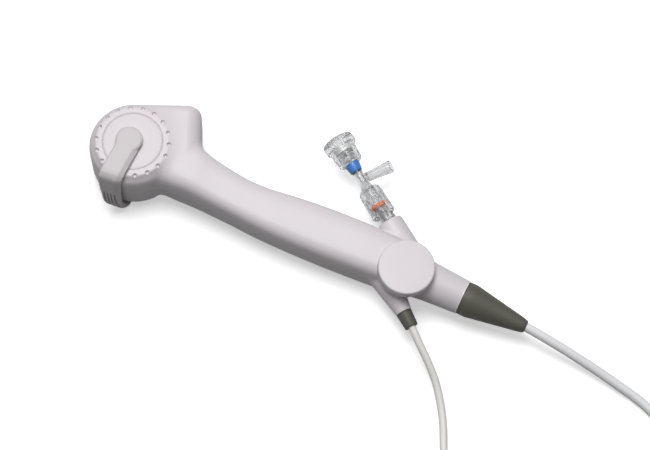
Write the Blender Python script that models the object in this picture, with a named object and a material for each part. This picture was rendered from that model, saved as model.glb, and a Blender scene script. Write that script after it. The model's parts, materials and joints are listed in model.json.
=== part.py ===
"""Flexible endoscope: handle with thumb lever, clear side adapter, insertion tube and cable.

Metres, +Z up. The origin is on the table, under the axis of the lever. The handle lies on its
side. It is modelled in its own frame, x along the grip, y across it and z along the lever's
axis, and an empty lays it down on the table.
"""

from math import asin, atan2, cos, pi, radians, sin, sqrt, tan

import bmesh
import bpy
from mathutils import Euler, Matrix, Vector

for item in list(bpy.data.objects):
    bpy.data.objects.remove(item, do_unlink=True)

# Fits, in metres
gap = 0.0003
wall = 0.0020
bush_play = 0.0003

# How the handle lies
axis_height = 0.0165
handle_turn = radians(-26)
rear_disc_x = 0.1310
rear_disc_y = 0.0030
rear_disc_depth = 0.0128
handle_tilt = asin((axis_height - rear_disc_depth) / rear_disc_x)

# Head
barrel_radius = 0.0195
head_half = 0.0135
head_round = 0.0042
beak_turn = -handle_turn
beak_reach = 0.0300
beak_rise = 0.0002
beak_corner = 0.0060
plateau_radius = 0.0172
plateau_top = 0.0148
dial_radius = 0.0132
dial_top = 0.0155
dial_seat = 0.0117
cap_round = 0.0012

# Grip sections: distance along the grip, middle across it, half width, half thickness
grip_sections = (
    (0.0080, 0.0022, 0.0125, 0.0118),
    (0.0160, 0.0034, 0.0132, 0.0126),
    (0.0230, 0.0029, 0.0130, 0.0130),
    (0.0300, 0.0017, 0.0119, 0.0130),
    (0.0370, 0.0010, 0.0113, 0.0128),
    (0.0450, 0.0004, 0.0110, 0.0126),
    (0.0540, 0.0000, 0.0109, 0.0125),
    (0.0640, 0.0001, 0.0113, 0.0125),
    (0.0740, 0.0009, 0.0119, 0.0125),
    (0.0850, 0.0017, 0.0123, 0.0125),
    (0.0980, 0.0026, 0.0124, 0.0124),
    (0.1120, 0.0034, 0.0123, 0.0121),
    (0.1210, 0.0037, 0.0119, 0.0117),
    (0.1300, 0.0040, 0.0108, 0.0109),
    (0.1400, 0.0042, 0.0092, 0.0095),
    (0.1500, 0.0043, 0.0085, 0.0086),
)
grip_square = 2.2
hollow_sections = (1, 3, 5, 8, 11, 14)
tail_y = 0.0043
tail_x = 0.1600
tail_radius = 0.0078

# Y piece
y_disc_x = 0.1330
y_disc_y = 0.0018
y_disc_radius = 0.0125
y_boss_radius = 0.0115
y_boss_low = 0.0050
rear_disc_radius = 0.0075
rear_boss_radius = 0.0072
y_disc_top = 0.0135
y_disc_thick = 0.0042
y_disc_round = 0.0016
luer_mouth = Vector((0.1160, 0.0213, 0.0))
luer_angle = radians(146.7)
luer_boss_radius = 0.0062
luer_boss_length = 0.0180
cable_mouth = Vector((0.1398, -0.0135, 0.0))
cable_angle = radians(-37.0)
cable_boss_radius = 0.0036
cable_boss_root = 0.0075
cable_boss_length = 0.0220

# Lever and what turns with it
lever_width = 0.0100
lever_hub_radius = 0.0064
lever_under = 0.0159
lever_top = 0.0183
lever_fold = 0.0052
lever_fold_start = 0.0030
# The pad that wraps down the barrel: distance out from the barrel, height over its middle
pad_outer = ((0.0027, 0.0115), (0.0035, 0.0060), (0.0043, 0.0000), (0.0046, -0.0050), (0.0039, -0.0100))
pad_inner = ((0.0013, -0.0100), (0.0020, -0.0050), (0.0017, 0.0000), (0.0011, 0.0060), (0.0004, 0.0115))
# The same below the rim of the barrel: distance out from the barrel, depth below its rear face
hook_outer = ((0.0021, 0.0001), (-0.0005, 0.0017), (-0.0027, 0.0014))
hook_inner = ((-0.0025, 0.0003), (-0.0003, -0.0004))
# And over the rim of the dial side: distance out from the barrel, depth below the arm
root_inner = ((-0.0012, 0.0011), (-0.0037, 0.0))

shaft_radius = 0.0030
shaft_top = 0.0172
shaft_end = -0.0108
drum_radius = 0.0059
drum_half = 0.0026
bush_radius = 0.0055
bush_inner = 0.0092
bush_outer = 0.0113
ring_radius = 0.0009
ring_height = 0.0068
clip_height = -0.0084
clip_radius = 0.0050
clip_thick = 0.0006
clip_groove = 0.0005
clip_opening = 0.0036
drum_groove = 0.0007
drum_groove_half = 0.0010

# Pull wires, guide and coil pipes
wire_radius = 0.00035
wire_start_x = 0.0020
wire_end_x = 0.0600
wire_guide_y = 0.0016
wire_hole = 0.00065
guide_x = 0.0560
guide_length = 0.0080
guide_half = 0.0040
guide_top = 0.0030
guide_foot = 0.0091
guide_reach = 0.0120
pipe_radius = 0.0010
pipe_bore = 0.0005
pipe_x = 0.0646
pipe_drop = 0.0034
pipe_spread = 0.0014

# Board and its lead
board_x = 0.0660
board_length = 0.0260
board_half = 0.0046
board_thick = 0.0012
board_height = -0.0066
board_plug = Vector((0.0052, 0.0048, 0.0024))
plug_inset = 0.0020
rib_inset = 0.0040
rib_thick = 0.0014
rib_root = 0.0107
lead_radius = 0.0009
lead_run = 0.0100

# Screws: place along and across the grip
screw_places = ((0.0165, 0.0235), (0.0340, 0.0084), (0.0980, 0.0096), (0.0980, -0.0045))
screw_radius = 0.0010
screw_head_radius = 0.0021
screw_head_thick = 0.0016
screw_head_seat = -0.0066
screw_tip = 0.0058
post_radius = 0.0031

# Tail
tail_bore = 0.0061
cone_lip_radius = 0.0076
cone_lip = 0.0036
cone_end_x = 0.1904
cone_end_radius = 0.0028
spigot_length = 0.0050
spigot_wall = 0.0016
collar_length = 0.0060
tube_radius = 0.0021
tube_start_x = 0.1560
collar_start_x = tail_x - spigot_length - collar_length
channel_radius = 0.0013

# Cable relief
relief_length = 0.0073
relief_end_radius = 0.0029
relief_spigot = 0.0026
relief_spigot_length = 0.0050
cable_radius = 0.0017
clamp_length = 0.0026

# Side adapter, distances along its axis from the boss
port_flange_radius = 0.0042
port_flange_end = 0.0036
port_neck_radius = 0.0030
port_lug_start = 0.0058
port_end = 0.0072
port_lug_radius = 0.0038
port_bore = 0.0023
port_root = -0.0080
branch_length = 0.0060
channel_run = 0.0090
nut_start = 0.0042
nut_end = 0.0180
nut_radius = 0.0051
nut_rib = 0.0004
nut_ribs = 12
nut_bore = 0.0044
nut_floor = 0.0130
seal_ring_place = 0.0086
seal_ring_major = 0.0031
seal_ring_minor = 0.0009
male_tip = 0.0025
male_radius = 0.0019
male_flange = 0.0116
male_flange_radius = 0.0039
male_flange_thick = 0.0010
stem_radius = 0.0029
stem_waist = 0.0024
arm_place = 0.0235
arm_reach = 0.0150
arm_radius = 0.0026
arm_shoulder = 0.0032
arm_flare = 0.0030
arm_bore = 0.0017
arm_way = 0.0012
arm_turn = radians(93.6)
arm_roll = radians(60.7)
body_bore = 0.0010
neck_radius = 0.0021
collar_start = 0.0277
collar_end = 0.0321
blue_start_radius = 0.0028
blue_end_radius = 0.0033
thread_radius = 0.0041
thread_end = 0.0380
cap_start = 0.0324
cap_start_radius = 0.0056
cap_waist_radius = 0.0062
cap_flange = 0.0404
cap_end = 0.0451
cap_radius = 0.0071
cap_rib = 0.0004
cap_ribs = 12
cap_bore = 0.0046
cap_floor = 0.0412
cap_mouth = 0.0016
cap_mouth_flare = 0.0014
seal_length = 0.0026
seal_radius = 0.0042

# Insertion tube: its route on the table, then the coil past the edge of the view
tube_route = (
    (0.1827, -0.0851, 0.0099),
    (0.1917, -0.0903, 0.0082),
    (0.2052, -0.0985, 0.0050),
    (0.2148, -0.1050, 0.0032),
    (0.2228, -0.1109, 0.0023),
)
tube_coil_centre = (0.2657, -0.1148)
tube_coil_turn = 0.0231
tube_coil_entry = radians(-131)
tube_coil_rows = 2
tube_straight = 0.0500
link_count = 8
link_pitch = 0.0056
link_gap = 0.0004
link_bend = radians(26.25)
tip_length = 0.0090
tip_radius = 0.0020
lens_radius = 0.0008
lens_depth = 0.0006

# Cable: its route on the table, then the coil below the view
cable_route = (
    (0.1264, -0.0872, 0.0106),
    (0.1300, -0.0943, 0.0080),
    (0.1328, -0.1008, 0.0054),
    (0.1345, -0.1067, 0.0036),
    (0.1359, -0.1146, 0.0023),
    (0.1365, -0.1218, 0.0020),
    (0.1365, -0.1323, 0.0022),
)
cable_coil_centre = (0.1622, -0.1700)
cable_coil_turn = 0.0204
cable_coil_rows = 4
cable_coil_lift = 0.0012
tie_thick = 0.0008
tie_width = 0.0060
tie_slack = 0.0005
plug_radius = 0.0066
plug_start = 0.0370
boot_length = 0.0140
boot_end_radius = 0.0027
boot_radius = 0.00475
plug_length = 0.0180
plug_shoulder = 0.0090
plug_edge = 0.0008
sleeve_length = 0.0100
sleeve_travel = 0.0025
sleeve_seat = 0.0018
sleeve_rib = 0.0003
sleeve_ribs = 14
insert_length = 0.0110
insert_radius = 0.0042
insert_wall = 0.0010

tiny = 1e-7
weld = 2e-6
spare = 0.0010


# Colours: name, red, green, blue, roughness, metallic
colours = {
    "shell_lilac": (0.80, 0.75, 0.79, 0.42, 0.0),
    "lever_grey": (0.66, 0.65, 0.64, 0.45, 0.0),
    "relief_grey": (0.085, 0.083, 0.067, 0.60, 0.0),
    "clear": (0.86, 0.88, 0.88, 0.10, 0.0),
    "blue": (0.05, 0.23, 0.72, 0.35, 0.0),
    "orange": (0.82, 0.16, 0.03, 0.40, 0.0),
    "tube_grey": (0.62, 0.64, 0.67, 0.38, 0.0),
    "cable_white": (0.78, 0.76, 0.72, 0.45, 0.0),
    "tip_grey": (0.30, 0.31, 0.32, 0.40, 0.0),
    "steel": (0.62, 0.62, 0.63, 0.28, 1.0),
    "bush_white": (0.85, 0.85, 0.82, 0.40, 0.0),
    "rubber": (0.04, 0.04, 0.04, 0.70, 0.0),
    "board_green": (0.02, 0.19, 0.08, 0.50, 0.0),
    "glass": (0.03, 0.04, 0.06, 0.05, 0.0),
    "brass": (0.75, 0.58, 0.24, 0.30, 1.0),
}


def add_empty(name, parent=None):
    empty = bpy.data.objects.new(name, None)
    bpy.context.scene.collection.objects.link(empty)
    empty.parent = parent
    return empty


def add_material(name, colour):
    red, green, blue, roughness, metallic = colours[colour]
    material = bpy.data.materials.new(name)
    material.use_nodes = True
    shader = material.node_tree.nodes["Principled BSDF"]
    shader.inputs["Base Color"].default_value = (red, green, blue, 1.0)
    shader.inputs["Roughness"].default_value = roughness
    shader.inputs["Metallic"].default_value = metallic
    return material


def add_raw(name, bm):
    """Turn a bmesh into an object with its faces pointing out."""
    bmesh.ops.recalc_face_normals(bm, faces=bm.faces)
    mesh = bpy.data.meshes.new(name)
    bm.to_mesh(mesh)
    bm.free()
    item = bpy.data.objects.new(name, mesh)
    bpy.context.scene.collection.objects.link(item)
    return item


def settle(item, colour, parent=None, sharp=38):
    """Give a finished piece its material, shading and parent."""
    item.data.materials.clear()
    item.data.materials.append(add_material(item.name, colour))
    item.data.shade_smooth()
    item.data.set_sharp_from_angle(angle=radians(sharp))
    item.parent = parent
    return item


def move(item, matrix):
    item.data.transform(matrix)
    return item


def combine(target, other, operation):
    """Apply one Boolean to the target and remove the other object."""
    step = target.modifiers.new("step", "BOOLEAN")
    step.operation = operation
    step.solver = "EXACT"
    step.object = other
    bpy.context.view_layer.update()
    graph = bpy.context.evaluated_depsgraph_get()
    mesh = bpy.data.meshes.new_from_object(target.evaluated_get(graph))
    target.modifiers.clear()
    bm = bmesh.new()
    bm.from_mesh(mesh)
    bmesh.ops.remove_doubles(bm, verts=bm.verts, dist=weld)
    bmesh.ops.dissolve_degenerate(bm, edges=bm.edges, dist=weld)
    bm.to_mesh(mesh)
    bm.free()
    target.data = mesh
    bpy.data.objects.remove(other, do_unlink=True)
    return target


def cut(target, other):
    return combine(target, other, "DIFFERENCE")


def join(target, other):
    return combine(target, other, "UNION")


def turned(name, profile, segments=24):
    """Turn a profile of (radius, z) about Z. One that leaves the axis at both ends is a ring."""
    bm = bmesh.new()
    rows = []
    for radius, z in profile:
        if radius < tiny:
            rows.append([bm.verts.new((0, 0, z))])
            continue
        angles = [2 * pi * i / segments for i in range(segments)]
        rows.append([bm.verts.new((radius * cos(a), radius * sin(a), z)) for a in angles])
    pairs = list(zip(rows, rows[1:]))
    if len(rows[0]) > 1:
        pairs.append((rows[-1], rows[0]))
    for low, high in pairs:
        for i in range(segments):
            j = (i + 1) % segments
            if len(low) == 1:
                bm.faces.new((low[0], high[i], high[j]))
            elif len(high) == 1:
                bm.faces.new((low[i], low[j], high[0]))
            else:
                bm.faces.new((low[i], low[j], high[j], high[i]))
    return add_raw(name, bm)


def rod(name, radius, low, high, segments=24):
    return turned(name, ((0, low), (radius, low), (radius, high), (0, high)), segments)


def ring(name, inner, outer, low, high, segments=24):
    profile = ((inner, low), (outer, low), (outer, high), (inner, high))
    return turned(name, profile, segments)


def rounded_disc(name, radius, low, high, low_round, high_round, segments=30):
    """A disc whose lower and upper edges are rounded."""
    profile = [(0, low)]
    for edge, start, size in ((low, -pi / 2, low_round), (high, 0, high_round)):
        if size <= 0:
            profile.append((radius, edge))
            continue
        middle = edge + size if edge == low else edge - size
        for i in range(4):
            angle = start + i * pi / 6
            profile.append((radius - size + size * cos(angle), middle + size * sin(angle)))
    profile.append((0, high))
    return turned(name, profile, segments)


def torus(name, major, minor, segments=20, sides=8):
    angles = [2 * pi * i / sides for i in range(sides)]
    profile = [(major + minor * cos(a), minor * sin(a)) for a in angles]
    return turned(name, profile, segments)


def ribbed(name, profile, rib, ribs, low, high):
    """A turned piece whose outer wall between two heights carries ribs."""
    item = turned(name, profile, ribs * 4)
    outer = max(radius for radius, z in profile)
    for vertex in item.data.vertices:
        flat = Vector((vertex.co.x, vertex.co.y, 0))
        if low - tiny <= vertex.co.z <= high + tiny and flat.length > outer - rib - tiny:
            step = round(atan2(flat.y, flat.x) / (2 * pi) * ribs * 4) % 4
            if step in (2, 3):
                vertex.co -= flat.normalized() * rib
    return item


def block(name, low, high):
    bm = bmesh.new()
    bmesh.ops.create_cube(bm, size=1.0)
    low, high = Vector(low), Vector(high)
    size = high - low
    bmesh.ops.scale(bm, vec=size, verts=bm.verts)
    bmesh.ops.translate(bm, vec=(low + high) / 2, verts=bm.verts)
    return add_raw(name, bm)


def prism(name, outline, low, high):
    """Extrude an outline of (x, y) from one height to another."""
    bm = bmesh.new()
    base = [bm.verts.new((x, y, low)) for x, y in outline]
    face = bm.faces.new(base)
    raised = bmesh.ops.extrude_face_region(bm, geom=[face])
    verts = [part for part in raised["geom"] if isinstance(part, bmesh.types.BMVert)]
    bmesh.ops.translate(bm, vec=(0, 0, high - low), verts=verts)
    return add_raw(name, bm)


def loft(name, rows):
    """Skin a list of closed rows of points and close both ends."""
    bm = bmesh.new()
    rows = [[bm.verts.new(point) for point in row] for row in rows]
    count = len(rows[0])
    for low, high in zip(rows, rows[1:]):
        for i in range(count):
            j = (i + 1) % count
            bm.faces.new((low[i], low[j], high[j], high[i]))
    bm.faces.new(rows[0])
    bm.faces.new(rows[-1])
    return add_raw(name, bm)


def aim(start, direction):
    """The matrix that lays local Z along a direction, with its origin at the start."""
    turn = Vector((0, 0, 1)).rotation_difference(Vector(direction)).to_matrix().to_4x4()
    return Matrix.Translation(Vector(start)) @ turn


def arc(centre, radius, first, last, steps):
    """Points of an arc from one angle to another, both ends in."""
    angles = [first + (last - first) * i / steps for i in range(steps + 1)]
    return [(centre[0] + radius * cos(a), centre[1] + radius * sin(a)) for a in angles]


def smooth_path(points, step):
    """Read points from the smooth curve through the route's own points, about a step apart."""
    points = [Vector(point) for point in points]
    ends = [points[0] * 2 - points[1]] + points + [points[-1] * 2 - points[-2]]
    path = [points[0]]
    for i in range(1, len(ends) - 2):
        before, start, end, after = ends[i - 1:i + 3]
        count = max(1, round((end - start).length / step))
        for k in range(1, count + 1):
            t = k / count
            blend = 0.5 * (2 * start + (end - before) * t
                           + (2 * before - 5 * start + 4 * end - after) * t * t
                           + (3 * start - before - 3 * end + after) * t ** 3)
            path.append(blend)
    return path


def cord(name, points, radius, colour, sides=2):
    """A plain tube along a row of points."""
    curve = bpy.data.curves.new(name, "CURVE")
    curve.dimensions = "3D"
    curve.bevel_depth = radius
    curve.bevel_resolution = sides
    curve.use_fill_caps = True
    spline = curve.splines.new("POLY")
    spline.points.add(len(points) - 1)
    for place, point in zip(spline.points, points):
        place.co = (*point, 1.0)
    curve.materials.append(add_material(name, colour))
    item = bpy.data.objects.new(name, curve)
    bpy.context.scene.collection.objects.link(item)
    return item


handle = add_empty("handle_frame")
handle_matrix = (Matrix.Translation((0, 0, axis_height)) @ Matrix.Rotation(handle_turn, 4, "Z")
                 @ Matrix.Rotation(handle_tilt, 4, "Y"))
handle.matrix_world = handle_matrix
table = 0.1


def cut_to_table(item):
    """Cut a piece of the handle flat where it stands on the table."""
    slab = block("slab", (-table, -table, -table / 2), (table * 2, table, 0))
    move(slab, handle_matrix.inverted())
    return cut(item, slab)


def to_world(x, y, z=0.0):
    return handle_matrix @ Vector((x, y, z))


# The shells

def head_outline(shrink, steps):
    """Outline of the barrel and its beak, seen along the lever's axis."""
    radius = barrel_radius - shrink
    reach = beak_reach - shrink
    top = barrel_radius + beak_rise - shrink
    corner = beak_corner - shrink
    points = arc((0, 0), radius, radians(92), radians(300), steps)
    points.append((reach, -0.0030))
    points += arc((reach - corner, top - corner), corner, 0, radians(88), steps // 4)
    turn = Matrix.Rotation(beak_turn, 2)
    return [tuple(turn @ Vector(point)) for point in points]


def head_solid(name, shrink, roundness, steps, rim_steps):
    """The barrel and beak as one plate whose two rims are rounded."""
    half = head_half - shrink
    item = prism(name, head_outline(shrink, steps), -half, half)
    bm = bmesh.new()
    bm.from_mesh(item.data)
    rim = [edge for edge in bm.edges if abs(abs(edge.verts[0].co.z) - half) < tiny
           and abs(edge.verts[0].co.z - edge.verts[1].co.z) < tiny]
    bmesh.ops.bevel(bm, geom=rim, offset=roundness, segments=rim_steps, profile=0.5, affect="EDGES")
    bmesh.ops.recalc_face_normals(bm, faces=bm.faces)
    bm.to_mesh(item.data)
    bm.free()
    return item


def section(x, middle, half_width, half_thick, count):
    """One closed section across the grip, a little squarer than an ellipse."""
    points = []
    for i in range(count):
        angle = 2 * pi * (i + 0.5) / count
        c, s = cos(angle), sin(angle)
        reach = (abs(c) ** grip_square + abs(s) ** grip_square) ** (-1 / grip_square)
        points.append((x, middle + half_width * reach * c, half_thick * reach * s))
    return points


def grip_solid(name):
    rows = [section(*place, 24) for place in grip_sections]
    rows.append(section(tail_x, tail_y, tail_radius, tail_radius, 24))
    return loft(name, rows)


def grip_hollow(name):
    rows = [grip_sections[i] for i in hollow_sections]
    return loft(name, [section(x, middle, width - wall, thick - wall, 16)
                       for x, middle, width, thick in rows])


def boss(name, mouth, angle, length, mouth_radius, root_radius, segments=28):
    """A round boss that ends at its mouth and runs back into the body."""
    direction = Vector((cos(angle), sin(angle), 0))
    item = turned(name, ((0, -length), (root_radius, -length), (mouth_radius, 0), (0, 0)), segments)
    return move(item, aim(mouth, direction))


def half_space(side):
    """A box over the half of the handle that a shell leaves free."""
    if side > 0:
        return block("half", (-table, -table, -table), (table * 3, table, gap / 2))
    return block("half", (-table, -table, -gap / 2), (table * 3, table, table))


def make_shell(name, side):
    """One half of the handle's casing: side 1 is the front with the dial, -1 the rear."""
    shell = head_solid(name, 0, head_round, 24, 3)
    join(shell, grip_solid("grip"))
    join(shell, boss("luer", luer_mouth, luer_angle, luer_boss_length, luer_boss_radius,
                     luer_boss_radius))
    join(shell, boss("cable", cable_mouth, cable_angle, cable_boss_length, cable_boss_radius,
                     cable_boss_root))
    if side > 0:
        place = Matrix.Translation((y_disc_x, y_disc_y, 0))
        seat, reach = y_disc_top - y_disc_thick - gap, y_disc_radius
        low, high = y_boss_low, seat + spare
    else:
        place = Matrix.Translation((rear_disc_x, rear_disc_y, 0))
        seat, reach = rear_disc_depth - y_disc_thick - gap, rear_disc_radius
        low, high = -seat - spare, 0
    join(shell, move(rod("y_boss", y_boss_radius if side > 0 else rear_boss_radius, low, high, 32), place))
    low, high = sorted((side * seat, side * table))
    cut(shell, move(rod("clear_y", reach + gap, low, high, 32), place))
    if side > 0:
        join(shell, turned("plateau", ((0, 0), (plateau_radius, 0), (plateau_radius, head_half),
                                       (plateau_radius - 0.0010, plateau_top), (0, plateau_top)), 36))

    # The recess that takes the dial cover or the rear cap
    recess = (dial_seat, table) if side > 0 else (-table, -dial_seat)
    cut(shell, rod("recess", dial_radius + gap, *recess, 32))

    # Hollow inside, around the screw posts
    cut(shell, half_space(side))
    hollow = head_solid("hollow", wall, head_round - wall, 16, 1)
    for half in (-1, 1):
        low, high = sorted((half * (head_half - wall * 2), half * table))
        cut(hollow, block("cover", (-table, -table, low), (table, table, high)))
    join(hollow, grip_hollow("grip_hollow"))
    for x, y in screw_places:
        cut(hollow, move(rod("post", post_radius, -table, table, 14), Matrix.Translation((x, y, 0))))
    cut(shell, hollow)
    tail = turned("tail_bore", ((0, 0.136), (tail_bore, 0.136), (tail_bore, table * 2), (0, table * 2)))
    cut(shell, move(tail, Matrix.Translation((0, tail_y, 0)) @ Matrix.Rotation(pi / 2, 4, "Y")))
    luer_way = Vector((cos(luer_angle), sin(luer_angle), 0))
    luer_depth = port_root - branch_length - channel_run - gap * 3
    luer_bore = rod("luer_bore", port_neck_radius + gap * 1.5, luer_depth, spare)
    cut(shell, move(luer_bore, aim(luer_mouth, luer_way)))
    cable_way = Vector((cos(cable_angle), sin(cable_angle), 0))
    cable_depth = -relief_spigot_length - clamp_length - lead_run - gap * 3
    cut(shell, move(rod("cable_bore", relief_spigot + gap, cable_depth, spare), aim(cable_mouth, cable_way)))
    cut(shell, rod("bush_hole", bush_radius + gap, -table, table, 28))

    for x, y in screw_places:
        if side > 0:
            hole = rod("hole", screw_radius + gap, -spare, screw_tip + spare, 12)
        else:
            hole = rod("hole", screw_radius + gap, -table, spare, 12)
            join(hole, rod("sink", screw_head_radius + gap, -table / 2, screw_head_seat, 12))
        cut(shell, move(hole, Matrix.Translation((x, y, 0))))
    if side < 0:
        for x in (board_x + rib_inset, board_x + board_length - rib_inset):
            low, high = (x, -board_half, -rib_root), (x + rib_thick, board_half, board_height - gap)
            join(shell, block("rib", low, high))
    return settle(shell, "shell_lilac", handle)


make_shell("front_shell", 1)
make_shell("rear_shell", -1)


# Covers on the head and over the Y

def make_covers():
    dial = rounded_disc("dial_cover", dial_radius, dial_seat + gap, dial_top, 0, cap_round)
    cut(dial, rod("hole", shaft_radius + bush_play, 0, table, 24))
    settle(dial, "shell_lilac", handle)

    cap = rounded_disc("rear_cap", dial_radius, -axis_height - spare, -dial_seat - gap, cap_round * 2, 0)
    cut(cap, rod("pocket", shaft_radius + spare, -dial_seat - spare, 0, 20))
    settle(cut_to_table(cap), "shell_lilac", handle)

    place = Matrix.Translation((y_disc_x, y_disc_y, 0))
    low = y_disc_top - y_disc_thick
    disc = rounded_disc("front_disc", y_disc_radius, low, y_disc_top, 0, y_disc_round)
    settle(move(disc, place), "shell_lilac", handle)
    place = Matrix.Translation((rear_disc_x, rear_disc_y, 0))
    rear = rounded_disc("rear_disc", rear_disc_radius, -rear_disc_depth - spare,
                        -rear_disc_depth + y_disc_thick, cap_round, 0)
    settle(cut_to_table(move(rear, place)), "shell_lilac", handle)


make_covers()


# The lever and what turns with it

def make_lever():
    fold = barrel_radius - lever_fold_start
    outline = [(0.0, lever_top), (-fold, lever_top)]
    outline += [(-fold - lever_fold * sin(a), lever_top - lever_fold * (1 - cos(a)))
                for a in (radians(22), radians(45), radians(68))]
    outline += [(-barrel_radius - out, height) for out, height in pad_outer]
    outline += [(-barrel_radius - out, -head_half - depth) for out, depth in hook_outer + hook_inner]
    outline += [(-barrel_radius - out, height) for out, height in pad_inner]
    outline += [(-barrel_radius - out, lever_under - depth) for out, depth in root_inner]
    outline.append((0.0, lever_under))
    lever = prism("thumb_lever", outline, -lever_width / 2, lever_width / 2)
    lie = Matrix(((0, 0, 1, 0), (1, 0, 0, 0), (0, 1, 0, 0), (0, 0, 0, 1)))
    move(lever, lie)
    join(lever, rod("hub", lever_hub_radius, lever_under, lever_top, 28))
    cut(lever, rod("socket", shaft_radius + gap, 0, shaft_top + gap, 24))
    settle(lever, "lever_grey", handle)

    profile = ((0, shaft_end), (shaft_radius, shaft_end), (shaft_radius, clip_height - gap),
               (shaft_radius - clip_groove, clip_height - gap),
               (shaft_radius - clip_groove, clip_height + clip_thick + gap),
               (shaft_radius, clip_height + clip_thick + gap), (shaft_radius, shaft_top), (0, shaft_top))
    settle(turned("lever_shaft", profile, 24), "steel", handle)

    bore = shaft_radius + gap
    profile = ((bore, -drum_half), (drum_radius, -drum_half), (drum_radius, -drum_groove_half),
               (drum_radius - drum_groove, 0), (drum_radius, drum_groove_half), (drum_radius, drum_half),
               (bore, drum_half))
    settle(turned("wire_drum", profile, 28), "bush_white", handle)

    for name, side in (("front_bush", 1), ("rear_bush", -1)):
        low, high = sorted((side * bush_inner, side * bush_outer))
        settle(ring(name, shaft_radius + bush_play, bush_radius, low, high), "bush_white", handle)

    band = torus("friction_ring", shaft_radius + gap + ring_radius, ring_radius)
    settle(move(band, Matrix.Translation((0, 0, ring_height))), "rubber", handle)

    clip = ring("retaining_clip", shaft_radius - clip_groove + gap, clip_radius, clip_height,
                clip_height + clip_thick)
    cut(clip, block("slot", (0, -clip_opening / 2, -table), (table, clip_opening / 2, table)))
    settle(clip, "steel", handle)


make_lever()


# Pull wires, their guide and the coil pipes

def make_wires():
    low, high = (guide_x, -guide_half, -guide_foot), (guide_x + guide_length, guide_half, guide_top)
    guide = block("wire_guide", low, high)
    for name, side in (("upper_wire", 1), ("lower_wire", -1)):
        start = Vector((wire_start_x, side * (drum_radius + gap + wire_radius), 0))
        end = Vector((wire_end_x, side * wire_guide_y, 0))
        way = end - start
        hole = rod("way", wire_hole, way.length - guide_reach, way.length + guide_reach, 10)
        cut(guide, move(hole, aim(start, way)))
        wire = add_empty(name + "_line", handle)
        wire.matrix_local = aim(start, way)
        settle(rod(name, wire_radius, 0, way.length, 8), "steel", wire)

        first = Vector((pipe_x, side * wire_guide_y, 0))
        last = Vector((collar_start_x - gap, tail_y + side * pipe_spread, -pipe_drop))
        way = last - first
        pipe = ring(name.replace("wire", "coil_pipe"), pipe_bore, pipe_radius, 0, way.length, 12)
        settle(move(pipe, aim(first, way)), "steel", handle)
    settle(guide, "bush_white", handle)


make_wires()


# Board, its connector and lead

def make_board():
    board = block("camera_board", (board_x, -board_half, board_height),
                  (board_x + board_length, board_half, board_height + board_thick))
    settle(board, "board_green", handle)
    end = board_x + board_length - plug_inset
    top = board_height + board_thick + gap
    plug = block("board_connector", (end - board_plug.x, -board_plug.y / 2, top),
                 (end, board_plug.y / 2, top + board_plug.z))
    settle(plug, "bush_white", handle)
    way = Vector((cos(cable_angle), sin(cable_angle), 0))
    clamp = cable_mouth - way * (relief_spigot_length + clamp_length + gap * 3)
    middle = top + board_plug.z / 2
    route = ((end + gap * 2, 0, middle), (end + 0.008, 0.0008, middle - 0.0002),
             (end + 0.020, 0.0002, middle - 0.0004), clamp - way * lead_run * 0.6, clamp - way * gap)
    lead = cord("board_lead", smooth_path(route, 0.004), lead_radius, "rubber")
    lead.parent = handle


make_board()


# Screws

def make_screws():
    for number, (x, y) in enumerate(screw_places, 1):
        head = screw_head_seat - gap
        profile = ((0, head - screw_head_thick), (screw_head_radius * 0.8, head - screw_head_thick),
                   (screw_head_radius, head - screw_head_thick * 0.6), (screw_head_radius, head),
                   (screw_radius, head), (screw_radius, screw_tip - 0.001), (0, screw_tip))
        item = turned("shell_screw_%d" % number, profile, 12)
        settle(move(item, Matrix.Translation((x, y, 0))), "steel", handle)


make_screws()


# Tail cone, collar and working channel

def make_tail():
    along = Matrix.Translation((0, tail_y, 0)) @ Matrix.Rotation(pi / 2, 4, "Y")
    start = tail_x + gap
    bore = tube_radius + gap
    spigot = tail_bore - gap
    inner = spigot - spigot_wall
    kink = start + cone_lip
    profile = [(inner, start - spigot_length), (spigot, start - spigot_length), (spigot, start),
               (cone_lip_radius, start), (cone_lip_radius, kink)]
    profile += [(cone_end_radius + 0.0004, cone_end_x - 0.0014), (cone_end_radius, cone_end_x - 0.0004),
                (cone_end_radius - 0.0003, cone_end_x), (bore, cone_end_x), (bore, kink + 0.006),
                (inner, kink)]
    settle(move(turned("tail_cone", profile, 28), along), "relief_grey", handle)

    end = start - spigot_length - gap
    collar = ring("tail_collar", bore, spigot, collar_start_x + gap, end)
    settle(move(collar, along), "bush_white", handle)


make_tail()


def make_channel():
    """The branch behind the luer port and the channel that runs from it to the tail."""
    way = Vector((cos(luer_angle), sin(luer_angle), 0))
    back = luer_mouth + way * (port_root - gap)
    branch = move(rod("channel_branch", port_neck_radius, -branch_length, 0, 20), aim(back, way))
    cut(branch, move(rod("bore", channel_radius + gap, wall - branch_length, spare, 12), aim(back, way)))
    settle(branch, "bush_white", handle)
    root = back - way * (branch_length + gap)
    tail = Vector((collar_start_x - gap, tail_y + 0.0010, 0.0021))
    route = (root, root - way * channel_run * 0.4,
             root * 0.45 + tail * 0.55 + Vector((0, -0.0004, 0.0008)), tail)
    channel = cord("working_channel", smooth_path(route, 0.005), channel_radius, "bush_white")
    channel.parent = handle


make_channel()


# Cable relief and clamp

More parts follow.
